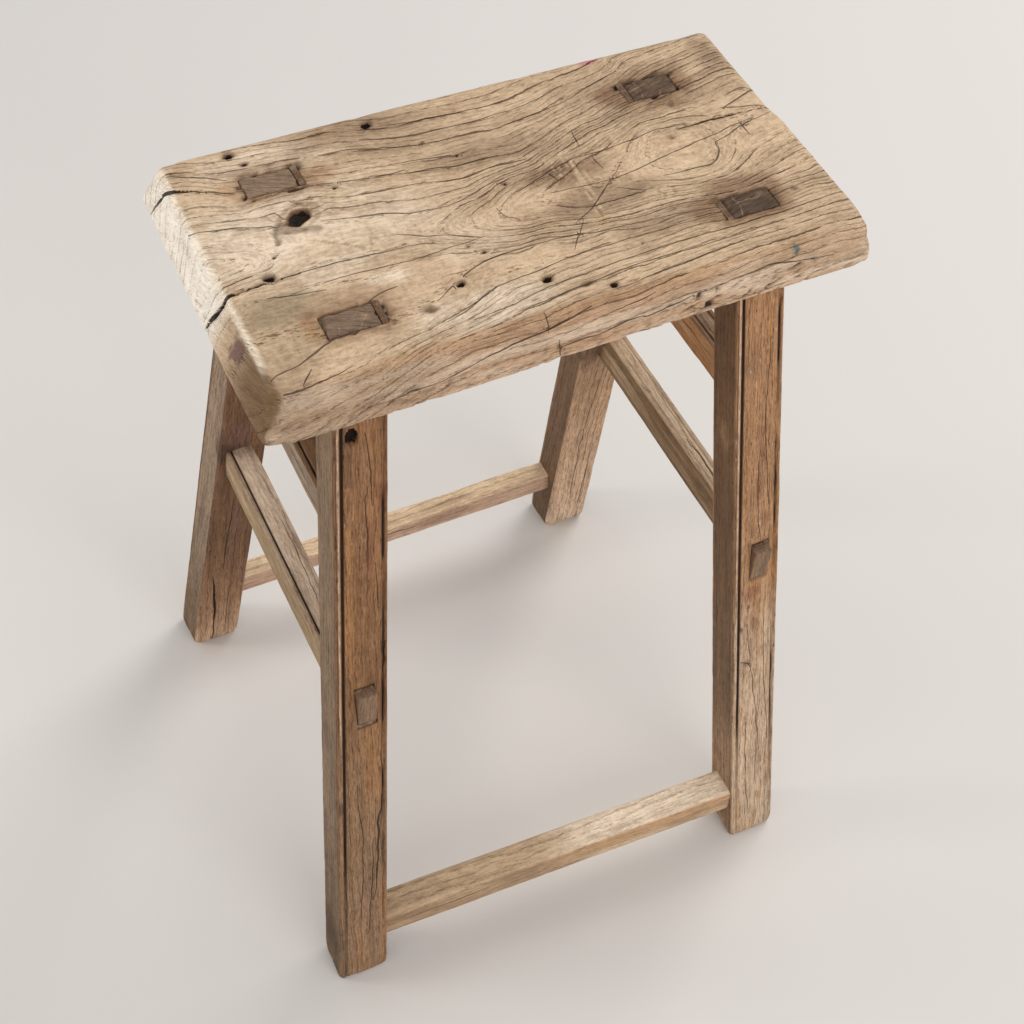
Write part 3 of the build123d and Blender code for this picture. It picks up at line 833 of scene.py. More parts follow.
def seat_blank(lines_x, lines_y):
    """The plank: a box with round edges, worn underneath, and with leaning ends."""
    xs = spaced(SEAT_LOW[0], SEAT_HIGH[0], 1.65, lines_x)
    ys = spaced(SEAT_LOW[1], SEAT_HIGH[1], 0.78, lines_y)
    zs = spaced(UNDERSIDE, SEAT_TOP, 1.3)
    flat, faces = box_surface(xs, ys, zs, coarse=4)
    x, y, z = flat.T
    upper = smooth(UNDERSIDE + 10, SEAT_TOP - 12, z)
    radius = SEAT_UNDER_EDGE + (SEAT_EDGE - SEAT_UNDER_EDGE) * upper
    corner = smooth(62, 92, y) * (1 - smooth(-176, -150, x))
    radius = radius + (SEAT_BACK_CORNER - radius) * corner * upper
    front = 1 - smooth(-88, -66, y)
    radius = radius + 2.5 * front * upper
    radius = radius + 3.0 * front * upper * (smooth(155, 176, x) + 1 - smooth(-176, -155, x))
    points, away = rounded(flat, radius)
    x, y, z = points.T
    low = seat_underside(x, y)
    points[:, 2] = low + (z - UNDERSIDE) * (SEAT_TOP - low) / (SEAT_TOP - UNDERSIDE)
    rise = np.clip((points[:, 2] - END_BREAK) / (SEAT_TOP - END_BREAK), 0, 1)
    left = LEFT_LEAN * (1 - smooth(-176, -140, x))
    right = RIGHT_LEAN * smooth(145, 178, x) * (0.45 + 0.55 * smooth(5, 25, y))
    points[:, 0] += rise * (left - right)
    away[:, 2] += 0.36 * (1 - smooth(-175, -166, x)) * (away[:, 0] < -0.3)
    away /= np.linalg.norm(away, axis=1)[:, None]
    return points, away, faces


def paint_seat(wood, away):
    """The seat's colour: pale worn wood with darker handled and stained areas."""
    points = wood.points
    x, y, _ = points.T
    side = smooth(0.3, 0.9, -away[:, 1])
    left = smooth(0.35, 0.75, -away[:, 0])
    wood.paint(PALE, 0.35 + 0.3 * noise(wood.grain, (60, 14, 14), 5, 2))
    moved = wobbled(points, 61)
    ragged = 0.35 * noise(points, (18, 8, 18), 62, 3)
    for px, py, long, wide, patch_colour, strength in SEAT_PATCHES:
        r = np.hypot((moved[:, 0] - px) / long, (moved[:, 1] - py) / wide)
        wood.paint(patch_colour, strength * (1 - smooth(0.35, 1.2, r + ragged)))
    wood.paint(PINK, 0.35 * side)
    wood.paint(CREAM, 0.4 * side * smooth(-0.3, 0.5, noise(points, (50, 50, 5), 8, 2)))
    wood.paint(ORANGE, 0.35 * side * smooth(0.1, 0.7, noise(points, (40, 40, 4), 10, 2)))
    wood.paint(DIM, 0.35 * side * (1 - smooth(-110, -60, x)))
    wood.paint(SUNLIT_END, 0.95 * left * smooth(-32, -6, y))
    wood.paint(SHADED_END, 0.95 * left * (1 - smooth(-66, -26, y)))
    # A painted highlight in cream along the rounded arris between the top and the left end, from about y
    # -65 to the back.
    arris_highlight = smooth(0.25, 0.5, -away[:, 0]) * (1 - smooth(0.75, 0.92, -away[:, 0]))
    arris_highlight = arris_highlight * smooth(0.2, 0.4, away[:, 2])
    wood.paint(CREAM, 0.85 * arris_highlight * smooth(-78, -55, y + 10 * noise(points, (9, 9, 9), 63)))

    # A purple stain at the left end, and traces of paint
    stain = spot(points, [-172, -43, 492], [7, 9, 10]) + 0.6 * noise(points, (3, 3, 3), 9, 2)
    wood.paint(PURPLE, 0.8 * (1 - smooth(0.5, 1.1, stain)))
    teal = spot(moved, [127, -89, 498], [2.2, 4.5, 3.6]) + 0.5 * noise(points, (2, 2, 2), 12)
    wood.paint(TEAL, 0.85 * (1 - smooth(0.6, 1.0, teal)))
    wood.paint(TEAL, 0.7 * (1 - smooth(0.6, 1.0, spot(moved, [138, -91, 490], [2.2, 3, 1.6]))))
    wood.paint(ROSE, 0.65 * (1 - smooth(0.5, 1.1, spot(moved, [94, 93, 499], [8, 4, 3]))))


def cut_seat(wood, away, top):
    """Cracks and cuts. The light cuts are worn slots with paler ridges beside them."""
    points = wood.points
    moved = wobbled(points, 19)
    for width, deep, route in SEAT_CUTS:
        far = follow(moved, away, filled(route, SEAT_TOP))[0]
        line = 1 - smooth(0.3, 1.0, far / (width / 2 + 0.5))
        ridge = (1 - smooth(0.4, 1.0, np.abs(far - 1.5) / 0.8)) * (far < 3)
        wood.sink += deep * line - 0.25 * ridge
        wood.paint(PALE, 0.6 * ridge)
        wood.paint(BROWN, 0.4 * line)
    wood.sink += cracks(wood, points, away, SEAT_CRACKS + SEAT_DARK_CUTS, 11, SEAT_TOP)

    # A cluster of pale flecks between the cuts
    fleck = np.hypot(points[:, 0] - 40, points[:, 1] + 33) / 6.5
    fleck = (1 - smooth(0.4, 1.1, fleck)) * smooth(0.1, 0.5, noise(points, (1.6, 1.6, 1.6), 21)) * top
    wood.paint(STRAW, fleck)
    wood.sink -= 0.4 * fleck


def nail_holes(wood, moved, top):
    """Nail holes, each dark inside and with a brown rim."""
    for hx, hy, radius, deep in SEAT_HOLES:
        r = np.hypot((moved[:, 0] - hx) / 1.2, moved[:, 1] - hy) / radius
        r = r + 0.15 * noise(wood.points, (2.2, 2.2, 2.2), 24)
        inside = (1 - smooth(0.6, 0.95, r)) * top
        wood.sink += deep * inside
        wood.darken(inside * min(1.0, 0.35 + 0.35 * deep))
        wood.paint(BROWN, 0.5 * (1 - smooth(0.8, 1.6, r)) * top)
        if deep > 0.9:
            mouth = (r * radius < radius + 1.8) & (top > 0.5)
            wood.fissure[mouth, 0] = (r * radius)[mouth]
            wood.fissure[mouth, 1] = 0.64 * radius


def knot_hole(wood, away, moved, top):
    """The hollow knot with a ring round it, its dark tail and the grey smudge below."""
    points = wood.points
    kx, ky = moved[:, 0] - KNOT[0], moved[:, 1] - KNOT[1]
    along = kx * math.cos(KNOT_TURN) + ky * math.sin(KNOT_TURN)
    across = ky * math.cos(KNOT_TURN) - kx * math.sin(KNOT_TURN)
    knot = np.hypot(along / KNOT_RADII[0], across / KNOT_RADII[1]) + 0.2 * noise(points, (4, 4, 4), 26, 2)
    hollow = (1 - smooth(0.65, 0.95, knot)) * top
    wood.sink += 3.2 * hollow * (0.8 + 0.5 * noise(points, (2, 2, 2), 27, 2))
    wood.paint(PALE, 0.5 * (1 - smooth(1.2, 1.9, knot)) * top)
    wood.paint(BROWN, (1 - smooth(0.85, 1.15, knot)) * top)
    wood.darken((0.9 + 0.3 * noise(points, (2.5, 2.5, 2.5), 29)) * hollow)
    mouth = (knot < 1.2) & (top > 0.5)
    rough_edge = 0.9 * noise(points, (2.4, 2.4, 2.4), 31, 2)
    wood.fissure[mouth, 0] = (KNOT_RADII[1] * knot)[mouth]
    wood.fissure[mouth, 1] = (3.4 + rough_edge)[mouth]
    wood.paint(BROWN, 0.45 * ((1 - smooth(0.12, 0.3, np.abs(knot - 1.45))) * top))
    tail = follow(moved, away, filled(KNOT_TAIL, SEAT_TOP))[0] + 1.8 * noise(points, (3, 3, 3), 28, 2)
    wood.darken(0.72 * (1 - smooth(0.5, 2.6, tail)))
    wood.sink += 1.0 * (1 - smooth(0.8, 2.4, tail))
    smudge = follow(moved, away, filled(KNOT_SMUDGE, SEAT_TOP))[0]
    smudge = smudge + 2.0 * noise(points, (4, 4, 4), 30, 2)
    wood.paint(GREY, 0.75 * (1 - smooth(1.5, 4.5, smudge)) * (knot > 1))
    wood.growth[:, 0] += 0.7 * (1 - smooth(0.8, 2.4, knot)) * top


def worm_holes(wood, side):
    """Worm holes and rot along the front side."""
    x, y, z = wood.points.T
    worm = noise(np.column_stack([x, y, z - 0.25 * x]), (3.6, 2.2, 1.9), 33)
    zone = side * smooth(40, 75, x) * (1 - smooth(487, 492, z)) * (1 - smooth(130, 150, x))
    zone = np.maximum(zone, 0.35 * side * (1 - smooth(480, 486, z)))
    pits = smooth(0.27, 0.38, worm) * zone
    wood.sink += 1.7 * pits
    wood.darken(pits)
    wood.sink += 0.6 * side * smooth(0.1, 0.7, noise(wood.points, (14, 14, 5), 34, 2))


def tenon_share(leg, points, grow):
    """Where a point lies in a leg's tenon and its wedge: below 1 inside them, over 1 outside."""
    local = leg.local(points)
    a = local[:, 1] - leg.inner_end * SEAT_WEDGE / 2
    long_way = np.abs(a) / (LEG_TENON[0] / 2 + SEAT_WEDGE / 2 + grow)
    short_way = np.abs(local[:, 2]) / (LEG_TENON[1] / 2 + grow)
    return (long_way**14 + short_way**10) ** (1 / 12)


# How far the wood round each tenon is chewed away, in millimetres
TENON_ROT = {"back_left": 2.2, "front_left": 1.0, "back_right": 1.2, "front_right": 0.6}


def tenon_beds(wood, legs, top):
    """A sunk bed with a dark rim for each tenon's end, and edges chewed where the wedges went in."""
    points = wood.points
    for name, leg in legs.items():
        share = tenon_share(leg, points, 0.3)
        halo = share + 0.22 * noise(points, (5, 5, 5), 41, 3)
        wood.paint(STAIN, 0.6 * (1 - smooth(1.05, 1.85, halo)) * top)
        wood.paint(BROWN, 0.6 * (1 - smooth(0.98, 1.16, halo)) * top)
        chewed = 1 - smooth(1.02, 1.36, share)
        chewed = chewed * smooth(0.05, 0.4, noise(points, (5.5, 4.5, 4.5), 43, 2)) * top
        wood.sink += TENON_ROT[name] * chewed * (share >= 1.0)
        wood.darken(min(TENON_ROT[name], 1) * chewed)
        wood.sink += TENON_BED * (share < 1.0) * top
        wood.darken(0.65 * (share < 1.0) * top)


def tenon_lines(legs):
    """Where the seat's mesh needs lines of points for the edges of the tenons' beds, in x and in y."""
    lines_x, lines_y = [], []
    for leg in legs.values():
        centre = leg.world(np.array([[SEAT_TOP, 0.0, 0.0]]))[0]
        middle_x = centre[0] + leg.inner_end * SEAT_WEDGE / 2
        for half, middle, lines in (
            ((LEG_TENON[0] + SEAT_WEDGE) / 2 + 0.3, middle_x, lines_x),
            (LEG_TENON[1] / 2 + 0.3, centre[1], lines_y),
        ):
            for sign in (-1, 1):
                lines += [middle + sign * (half + step) for step in (-0.15, 0.15, 0.45)]
    return lines_x, lines_y


def seat_wood(legs):
    """The seat plank, with all its wear and marks."""
    points, away, faces = seat_blank(*tenon_lines(legs))
    x, y, z = points.T
    wood = Wood(points, faces)
    ring, spacing, clear = seat_growth(points)
    wood.grain = np.column_stack([x, 4.2 * ring, z + 0.3 * y])
    edge = (1 - np.abs(away).max(1)) / 0.3
    top = smooth(0.6, 0.95, away[:, 2])
    side = smooth(0.3, 0.9, -away[:, 1])
    # left is the back part of the left end, which is painted as sunlit: there the rings are painted fainter
    # and the wood is painted paler as painted sunlight, and made glossier. Round the top's edges the wood
    # is paler and smoother from wear.
    left = smooth(0.35, 0.75, -away[:, 0]) * smooth(-32, -6, y)
    wood.grow(ring, spacing, clear * (1 - 0.6 * left) * (1 - 0.45 * side))
    wood.wear_and_sheen = 0.4 * edge * top + 0.5 * left
    paint_seat(wood, away)
    cut_seat(wood, away, top)
    moved = wobbled(points, 23)
    nail_holes(wood, moved, top)
    knot_hole(wood, away, moved, top)
    worm_holes(wood, side)
    tenon_beds(wood, legs, top)
    relief = 0.26 * noise(wood.grain, (46, 5, 5), 3, 2) + 0.12 * noise(wood.grain, (12, 1.7, 1.7), 4, 2)
    dished = 0.5 * top * noise(points, (110, 60, 60), 6)
    chipped = 0.9 * edge * smooth(0.1, 0.7, noise(points, (17, 17, 9), 7, 2))
    wood.sink = wood.sink + chipped - relief - np.minimum(dished, 0)
    wood.points = points - away * np.maximum(wood.sink, -0.1)[:, None]
    return wood


# ================================================================ the legs
# The colours of each leg's moulded face and of its sides, from the floor up: (height, colour). The sides'
# colours are partly painted shade, as the sides face away from the main light.
LEG_COLOURS = {
    "front_left": {
        "face": [(0, colour(150, 122, 97)), (190, colour(148, 116, 88)), (260, colour(138, 103, 73)),
                 (420, colour(148, 110, 80))],
        "side": [(0, colour(112, 92, 70)), (60, colour(124, 103, 82)), (150, colour(146, 124, 102)),
                 (464, colour(140, 118, 94))],
    },
    "front_right": {
        "face": [(0, colour(196, 172, 147)), (190, colour(200, 171, 143)), (240, colour(182, 142, 107)),
                 (464, colour(172, 130, 96))],
        "side": [(0, colour(170, 142, 114)), (80, colour(164, 134, 106)), (125, colour(136, 110, 86)),
                 (220, colour(122, 95, 72)), (464, colour(118, 88, 60))],
    },
    "back_left": {
        "face": [(0, colour(200, 168, 138)), (60, colour(156, 120, 92)), (140, colour(122, 91, 67)),
                 (464, colour(118, 88, 65))],
        "side": [(0, colour(120, 98, 76)), (80, colour(138, 116, 94)), (220, colour(160, 138, 116)),
                 (464, colour(150, 127, 106))],
    },
    "back_right": {
        "face": [(0, colour(218, 192, 166)), (50, colour(210, 178, 150)), (200, colour(186, 152, 122)),
                 (464, colour(166, 134, 106))],
        "side": [(0, colour(110, 88, 66)), (120, colour(124, 97, 74)), (464, colour(130, 104, 80))],
    },
}
LEG_SEEDS = {"front_left": 100, "front_right": 200, "back_left": 300, "back_right": 400}

# Cracks in the legs: (width, depth, route of (height, across, out)). A point (height, across) is on
# a front leg's moulded face.
LEG_CRACKS = {
    "front_left": [
        (1.1, 1.8, [(72, 7), (86, 9), (130, 10), (170, 13), (205, 12.6)]),
        (0.8, 1.0, [(200, 12.4), (230, 13.5), (262, 12.8), (290, 14.5)]),
        (0.6, 1.0, [(40, 3), (90, 6), (128, 6.5)]),
        (0.5, 1.0, [(60, -2), (120, 0), (180, -4)]),
        (0.6, 1.0, [(320, 10), (350, 9)]),
        (0.7, 1.0, [(395, 6.5), (425, 5), (440, 3)]),
        (0.5, 1.0, [(350, 4), (400, 2.5)]),
    ],
    "front_right": [
        (0.4, 1.0, [(84, 5), (140, 0), (200, -6)]),
        (0.4, 1.0, [(90, 12), (150, 8), (220, 6)]),
        (1.0, 1.2, [(164, -3), (168, -5), (170, -9)]),
        (0.5, 0.8, [(20, -3), (60, -5), (110, -6)]),
        (0.4, 0.8, [(262, 4), (300, 0), (340, 1)]),
        (0.5, 0.8, [(300, 8), (360, 5), (420, 7)]),
    ],
    "back_left": [
        (1.3, 2.2, [(2, -4, -14.3), (50, -5, -14.3), (100, -9, -14.3)]),
        (0.8, 1.2, [(108, -2, -14.3), (150, -3, -14.3), (200, -1, -14.3)]),
        (0.5, 1.0, [(10, 5, -14.3), (80, 4, -14.3)]),
    ],
    "back_right": [
        (0.5, 0.9, [(40, 0, -14.3), (130, -2, -14.3), (230, 4, -14.3)]),
        (0.5, 0.9, [(20, 8, -14.3), (120, 9, -14.3)]),
    ],
}

# Stains on the legs: (height, across, out, half height, half width, colour, strength)
RED_BROWN = colour(132, 84, 66)
LEG_STAINS = {
    "front_left": [
        (36, -16, 2, 24, 16, DARK, 0.45), (92, -16, 6, 16, 7, PURPLE, 0.4),
        (136, -16, 3, 11, 8, PURPLE, 0.35), (212, -16, 3, 17, 7, PURPLE, 0.45),
        (240, 12, -14, 14, 4, RED_BROWN, 0.4), (234, -10, -14, 34, 4, BROWN, 0.4),
        (352, 5, -14, 40, 3, RED_BROWN, 0.4), (395, 12, -14, 22, 4, RED_BROWN, 0.4),
        (430, -9, -14, 30, 5, DARK, 0.4), (20, -14, -14, 40, 5, DARK, 0.3),
        (165, -16, -13, 9, 5, DARK, 0.6), (385, -16, -13, 20, 4, RED_BROWN, 0.4),
    ],
    "front_right": [
        (36, 5, -14, 6, 3, ORANGE, 0.5), (16, 3, -14, 6, 3, ORANGE, 0.45),
        (228, -3, -14, 10, 6, RED_BROWN, 0.5), (203, -1, -14, 7, 3, RED_BROWN, 0.5),
        (287, 6, -14, 8, 5, RED_BROWN, 0.5), (283, -2, -14, 7, 3, RED_BROWN, 0.4),
        (314, 2, -14, 10, 5, RED_BROWN, 0.45), (340, 3, -14, 8, 4, RED_BROWN, 0.45),
        (356, 1, -14, 6, 4, RED_BROWN, 0.4), (68, -16, 4, 8, 8, RED_BROWN, 0.3),
        (22, -16, 0, 14, 14, BROWN, 0.5), (405, -5, -14, 22, 6, STAIN, 0.4),
        (168, -6, -14, 4, 3, DARK, 0.6), (200, -9.5, -14, 3, 2, DARK, 0.7),
        (218, -5, -14, 2.5, 2, DARK, 0.7), (350, -16, 0, 14, 7, colour(160, 130, 92), 0.6),
    ],
    "back_left": [
        (86, 16, -14, 18, 7, PURPLE, 0.5), (160, 2, -14, 60, 4, PURPLE, 0.35),
        (265, -6, -14, 34, 12, PURPLE, 0.6), (46, -16, 6, 16, 7, BROWN, 0.65),
        (164, -16, 0, 16, 7, PURPLE, 0.35), (98, -16, 9, 10, 5, PURPLE, 0.25),
        (240, 8, -14, 50, 8, STAIN, 0.3), (262, -15, -14, 16, 8, DARK, 0.6), (5, -16, 4, 6, 5, DARK, 0.4),
    ],
    "back_right": [
        (190, -4, -14, 80, 10, STAIN, 0.2), (60, -16, 0, 24, 14, BROWN, 0.4),
        (250, -10, -14, 16, 14, DARK, 0.5),
    ],
}
LEG_HOLE = (441.0, -5.0)
LEG_HOLE_RADII = (5.2, 3.7)
LEG_HOLE_DEPTH = 5.0
# On the side to the left the bead stays whole. On the right it is worn down to a ragged line.
WORN_BEAD = 1.7
WORN_GROOVE = 1.9


def moulding(across, half_width, worn_side):
    """How far the moulded face lies below the leg's full depth, and where its groove is."""
    from_edge = half_width - np.abs(across)
    bead_end = np.where(worn_side, WORN_BEAD, BEAD_WIDTH)
    groove_width = np.where(worn_side, WORN_GROOVE, GROOVE_WIDTH)
    turn = np.clip((from_edge - bead_end / 2) / (bead_end / 2), -1, 1)
    bead = BEAD_SETBACK * (1 - np.sqrt(1 - turn**2))
    into = np.clip((from_edge - bead_end) / groove_width, 0, 1)
    first = BEAD_SETBACK + (GROOVE_DEPTH - BEAD_SETBACK) * np.minimum(2 * into, 1)
    groove = first + (FLAT_SETBACK - GROOVE_DEPTH) * np.clip(2 * into - 1, 0, 1)
    crown = FLAT_SETBACK * (np.abs(across) / (half_width - BEAD_WIDTH - GROOVE_WIDTH)) ** 2
    middle = np.minimum(crown, FLAT_SETBACK + 0.3)
    shape = np.where(from_edge < bead_end, bead, np.where(into < 1, groove, middle))
    in_groove = np.abs(from_edge - bead_end - groove_width / 2) / groove_width
    return shape, in_groove


def graded(stops, height):
    """The colour at each height, from a list of (height, colour)."""
    heights = [stop[0] for stop in stops]
    return np.stack([np.interp(height, heights, [stop[1][k] for stop in stops]) for k in range(3)], 1)


def leg_wood(name, leg, tenon_bar):
    """A leg's post, with its mouldings, wear, cracks and the sunk bed of its through tenon."""
    seed = LEG_SEEDS[name]
    outer = leg.outer
    width, depth = LEG_FOOT_SECTION
    flat, faces = box_surface(
        spaced(0, UNDERSIDE, 1.7), spaced(-width / 2, width / 2, 0.42), spaced(-depth / 2, depth / 2, 0.55)
    )
    low_end = 1 - smooth(0, 12, flat[:, 0])
    inner_edge = flat[:, 2] * outer < 0
    foot_radius = 2.4 if outer < 0 else 1.4
    radius = 1.2 + 1.6 * inner_edge + foot_radius * low_end + 0.5 * noise(flat, (50, 50, 50), seed)
    local, away = rounded(flat, np.clip(radius, 0.7, 5))
    share = local[:, 0] / UNDERSIDE
    local[:, 1] *= (1 - share) + share * LEG_TOP_SECTION[0] / width
    local[:, 2] *= (1 - share) + share * LEG_TOP_SECTION[1] / depth
    height, across, out = local.T
    half_width = width / 2 * ((1 - share) + share * LEG_TOP_SECTION[0] / width)

    wood = Wood(local, faces)
    face = smooth(0.3, 0.9, away[:, 2] * outer)
    side = smooth(0.55, 0.95, np.abs(away[:, 1]))
    side = side * smooth(2.2, 3.4, depth / 2 - np.abs(out))
    line = np.column_stack([height, 0 * height, 0 * height])
    lean = 2.2 * noise(line, (150, 9, 9), seed + 1) + 0.012 * (height - 230) * (1 if seed % 200 else -1)
    wood.grain = np.column_stack([height, across + lean + 0.25 * out, out - 0.25 * across + 37 * seed])
    heart = across * 0.85 + out * 0.9 + lean + 2.0 * noise(local, (90, 30, 30), seed + 2)
    wood.grow(heart / 3.6 + 0.01 * seed, 3.6, 0.75)

    drift = height + 26 * noise(local, (70, 6, 9), seed + 3, 2)
    # The sides take their own colours, which are partly painted shade.
    tint = graded(LEG_COLOURS[name]["face"], drift)
    sides = graded(LEG_COLOURS[name]["side"], drift)
    tint = tint * (1 - side[:, None]) + sides * side[:, None]
    tint = tint * (1 + 0.24 * noise(wood.grain, (80, 4, 4), seed + 4, 3))[:, None]
    tint = blend(tint, ORANGE, 0.5 * smooth(0.0, 0.6, noise(wood.grain, (60, 7, 7), seed + 17, 2)) * face)
    moved = wobbled(local, seed + 5)
    ragged = 0.4 * noise(local, (9, 4, 4), seed + 6, 3)
    for h, a, b, tall, wide, stain_colour, strength in LEG_STAINS[name]:
        r = ((moved[:, 0] - h) / tall) ** 2 + ((moved[:, 1] - a) ** 2 + (moved[:, 2] - b) ** 2) / wide**2
        tint = blend(tint, stain_colour, strength * (1 - smooth(0.4, 1.15, np.sqrt(r) + ragged)))

    worn_side = (across > 0) & (outer < 0)
    fade = 0.3 + 0.7 * smooth(20, 120, height)
    profile, in_groove = moulding(across, half_width, worn_side)
    patchy = np.where(worn_side, smooth(-0.45, 0.1, noise(local, (30, 3, 3), seed + 7, 2)), 1.0)
    grimy = (1 - smooth(0.35, 0.62, in_groove)) * face * patchy * (0.45 + 0.55 * smooth(50, 130, height))
    wood.darken(grimy)
    from_edge = half_width - np.abs(across)
    crest = (1 - smooth(0.3, 0.9, np.abs(from_edge - BEAD_WIDTH * 0.55))) * face * (across < 0)
    upper = smooth(200, 240, height) if outer < 0 else 0.4
    tint = blend(tint, colour(214, 184, 160), 0.75 * crest * upper)
    hollow = (1 - smooth(0.25, 0.6, np.abs(from_edge - 1.0))) * (across < 0)
    hollow = hollow * smooth(0.1, 0.6, away[:, 2] * outer)
    wood.darken(0.7 * hollow * upper)
    bead_side = smooth(0.5, 0.9, -away[:, 1]) * (1 - smooth(2.6, 3.6, depth / 2 - out * outer))
    tint = blend(tint, BROWN, 0.75 * bead_side)
    specks = smooth(0.5, 0.68, noise(local, (3.4, 1.2, 1.2), seed + 8)) * face * smooth(240, 300, height)
    patches = smooth(-0.1, 0.4, noise(local, (40, 9, 9), seed + 9))
    bleached = 0.6 if name == "front_right" else 0.2
    tint = blend(tint, colour(206, 186, 164), bleached * specks * patches * (outer < 0))

    cut = cracks(wood, local, away, LEG_CRACKS[name], seed + 10, -LEG_TOP_SECTION[1] / 2)
    sink = profile * face * fade + cut
    if name == "front_left":
        from_hole = local[:, :2] - LEG_HOLE
        hole = np.hypot(from_hole[:, 0] / LEG_HOLE_RADII[0], from_hole[:, 1] / LEG_HOLE_RADII[1])
        inside = (1 - smooth(0.85, 1.0, hole)) * face
        sink = sink + LEG_HOLE_DEPTH * inside
        mouth = (hole < 1.6) & (face > 0.5)
        wood.fissure[mouth, 0] = np.maximum(10 * (hole - 1) + 2, 0)[mouth]
        wood.fissure[mouth, 1] = 2.0
        wood.darken(inside)

    # The bed of the through tenon's end, a little larger than the tenon and its wedges
    points = leg.world(local)
    bar = tenon_bar.local(points)
    shift = -(tenon_bar.high[1] - tenon_bar.low[1] - SIDE_TENON) / 2
    half_up = (tenon_bar.high[2] - tenon_bar.low[2]) / 2
    under = SIDE_WEDGE if name == "front_left" else 0.0
    low, high = -half_up - under, half_up + SIDE_WEDGE
    beyond_side = np.abs(bar[:, 1] - shift) - SIDE_TENON / 2
    beyond_end = np.abs(bar[:, 2] - (low + high) / 2) - (high - low) / 2
    beyond = np.maximum(beyond_side, beyond_end)
    sink = sink + SIDE_TENON_BED * (beyond < 0.25) * (face > 0.5)
    wood.darken(0.9 * (1 - smooth(0.3, 0.9, beyond)) * face)
    tint = blend(tint, BROWN, 0.45 * (1 - smooth(0.2, 3.5, beyond + 1.5 * ragged)) * face)

    edge = (1 - np.abs(away).max(1)) / 0.3
    wood.wear_and_sheen = 0.5 * edge * (face < 0.2)
    relief = 0.2 * noise(wood.grain, (40, 5, 5), seed + 11, 2)
    relief = relief + 0.12 * noise(wood.grain, (10, 1.4, 1.4), seed + 12, 2)
    chipped = 1.2 * edge * smooth(0.15, 0.75, noise(local, (14, 9, 9), seed + 13, 2))
    worn_edge = (across > 0) * smooth(half_width - 3.5, half_width - 1.0, across) * face
    chipped = chipped + 1.3 * worn_edge * smooth(0.0, 0.5, noise(local, (24, 9, 9), seed + 16, 2))
    foot = 1 - smooth(0, 16, height)
    chipped = chipped + 1.8 * foot * smooth(0.0, 0.6, noise(local, (9, 7, 7), seed + 14, 2)) * edge
    sink = sink + chipped - np.minimum(relief, 0.25)
    wood.points = points - leg.directions(away) * sink[:, None]
    wood.points[:, 2] = np.clip(wood.points[:, 2], 0, UNDERSIDE)
    darkening = 0.45 * (1 - smooth(0, 10, height)) * smooth(0, 0.6, noise(local, (8, 5, 5), seed + 15, 2))
    wood.darken(darkening)
    wood.tint = tint
    return wood


# The colour of each tenon's upper end, and how dirty it is
TENON_LOOKS = {
    "front_left": (colour(138, 116, 98), 0.25),
    "back_left": (colour(150, 128, 106), 0.2),
    "front_right": (colour(98, 80, 66), 0.5),
    "back_right": (colour(106, 86, 70), 0.45),
}

# Pale scratches over each tenon's upper end: points (across, out)
TENON_SCRATCHES = [
    [(-9, -7), (-6, 0), (-8, 8)],
    [(-14, 1), (0, 3), (13, 1)],
    [(2, -8), (6, -2), (12, 4)],
]


def leg_tenon_wood(name, leg):
    """The tenon's upper end, as end grain flush with the seat's top."""
    seed = LEG_SEEDS[name] + 50
    half_a, half_b = LEG_TENON[0] / 2, LEG_TENON[1] / 2
    flat, faces = box_surface(
        spaced(UNDERSIDE, SEAT_TOP - 0.3, 2.5), spaced(-half_a, half_a, 0.45), spaced(-half_b, half_b, 0.45)
    )
    local, away = rounded(flat, 1.1)
    end_colour, darkening = TENON_LOOKS[name]
    wood = Wood(local, faces)
    height, across, out = local.T
    turn = 0.5 if name.endswith("left") else -0.35
    wood.grain = np.column_stack([across * 0.8, out * 1.3 + turn * across + 12, height])
    rings = (out + turn * across + 1.2 * noise(local, (9, 9, 9), seed)) / 4.0
    wood.grow(rings, 4.0, 0.6)
    tint = np.tile(np.array(end_colour), (len(local), 1))
    wood.tint = blend(tint, TAN, 0.3 * smooth(0.0, 0.8, noise(local, (8, 8, 4), seed + 1, 2)))
    wood.grime_and_shade = darkening * smooth(-0.3, 0.5, noise(local, (6, 6, 3), seed + 2, 2))
    inward = 0.1 + 0.8 * noise(local, (7, 6, 5), seed + 6, 2)
    inward = np.clip(inward, 0, 1.2)[:, None]
    local[:, 1:] -= away[:, 1:] * inward * smooth(UNDERSIDE, SEAT_TOP, height)[:, None]
    top = smooth(0.5, 0.9, away[:, 0])
    worn = 0.5 * smooth(0.0, 0.8, noise(local, (5, 3, 3), seed + 3, 2))
    chipped = 1.4 * smooth(0.75, 1.0, np.maximum(np.abs(across) / half_a, np.abs(out) / half_b))
    worn = worn + chipped * smooth(0.1, 0.5, noise(local, (6, 5, 5), seed + 4))
    for route in TENON_SCRATCHES:
        path = np.array([(SEAT_TOP, *point) for point in route], float)
        far = follow(wobbled(local, seed + 5), away, path)[0]
        wood.tint = blend(wood.tint, PALE, 0.3 * (1 - smooth(0.1, 0.6, far)))
    points = leg.world(local)
    wood.points = points - leg.directions(away) * (worn * top)[:, None]
    return wood


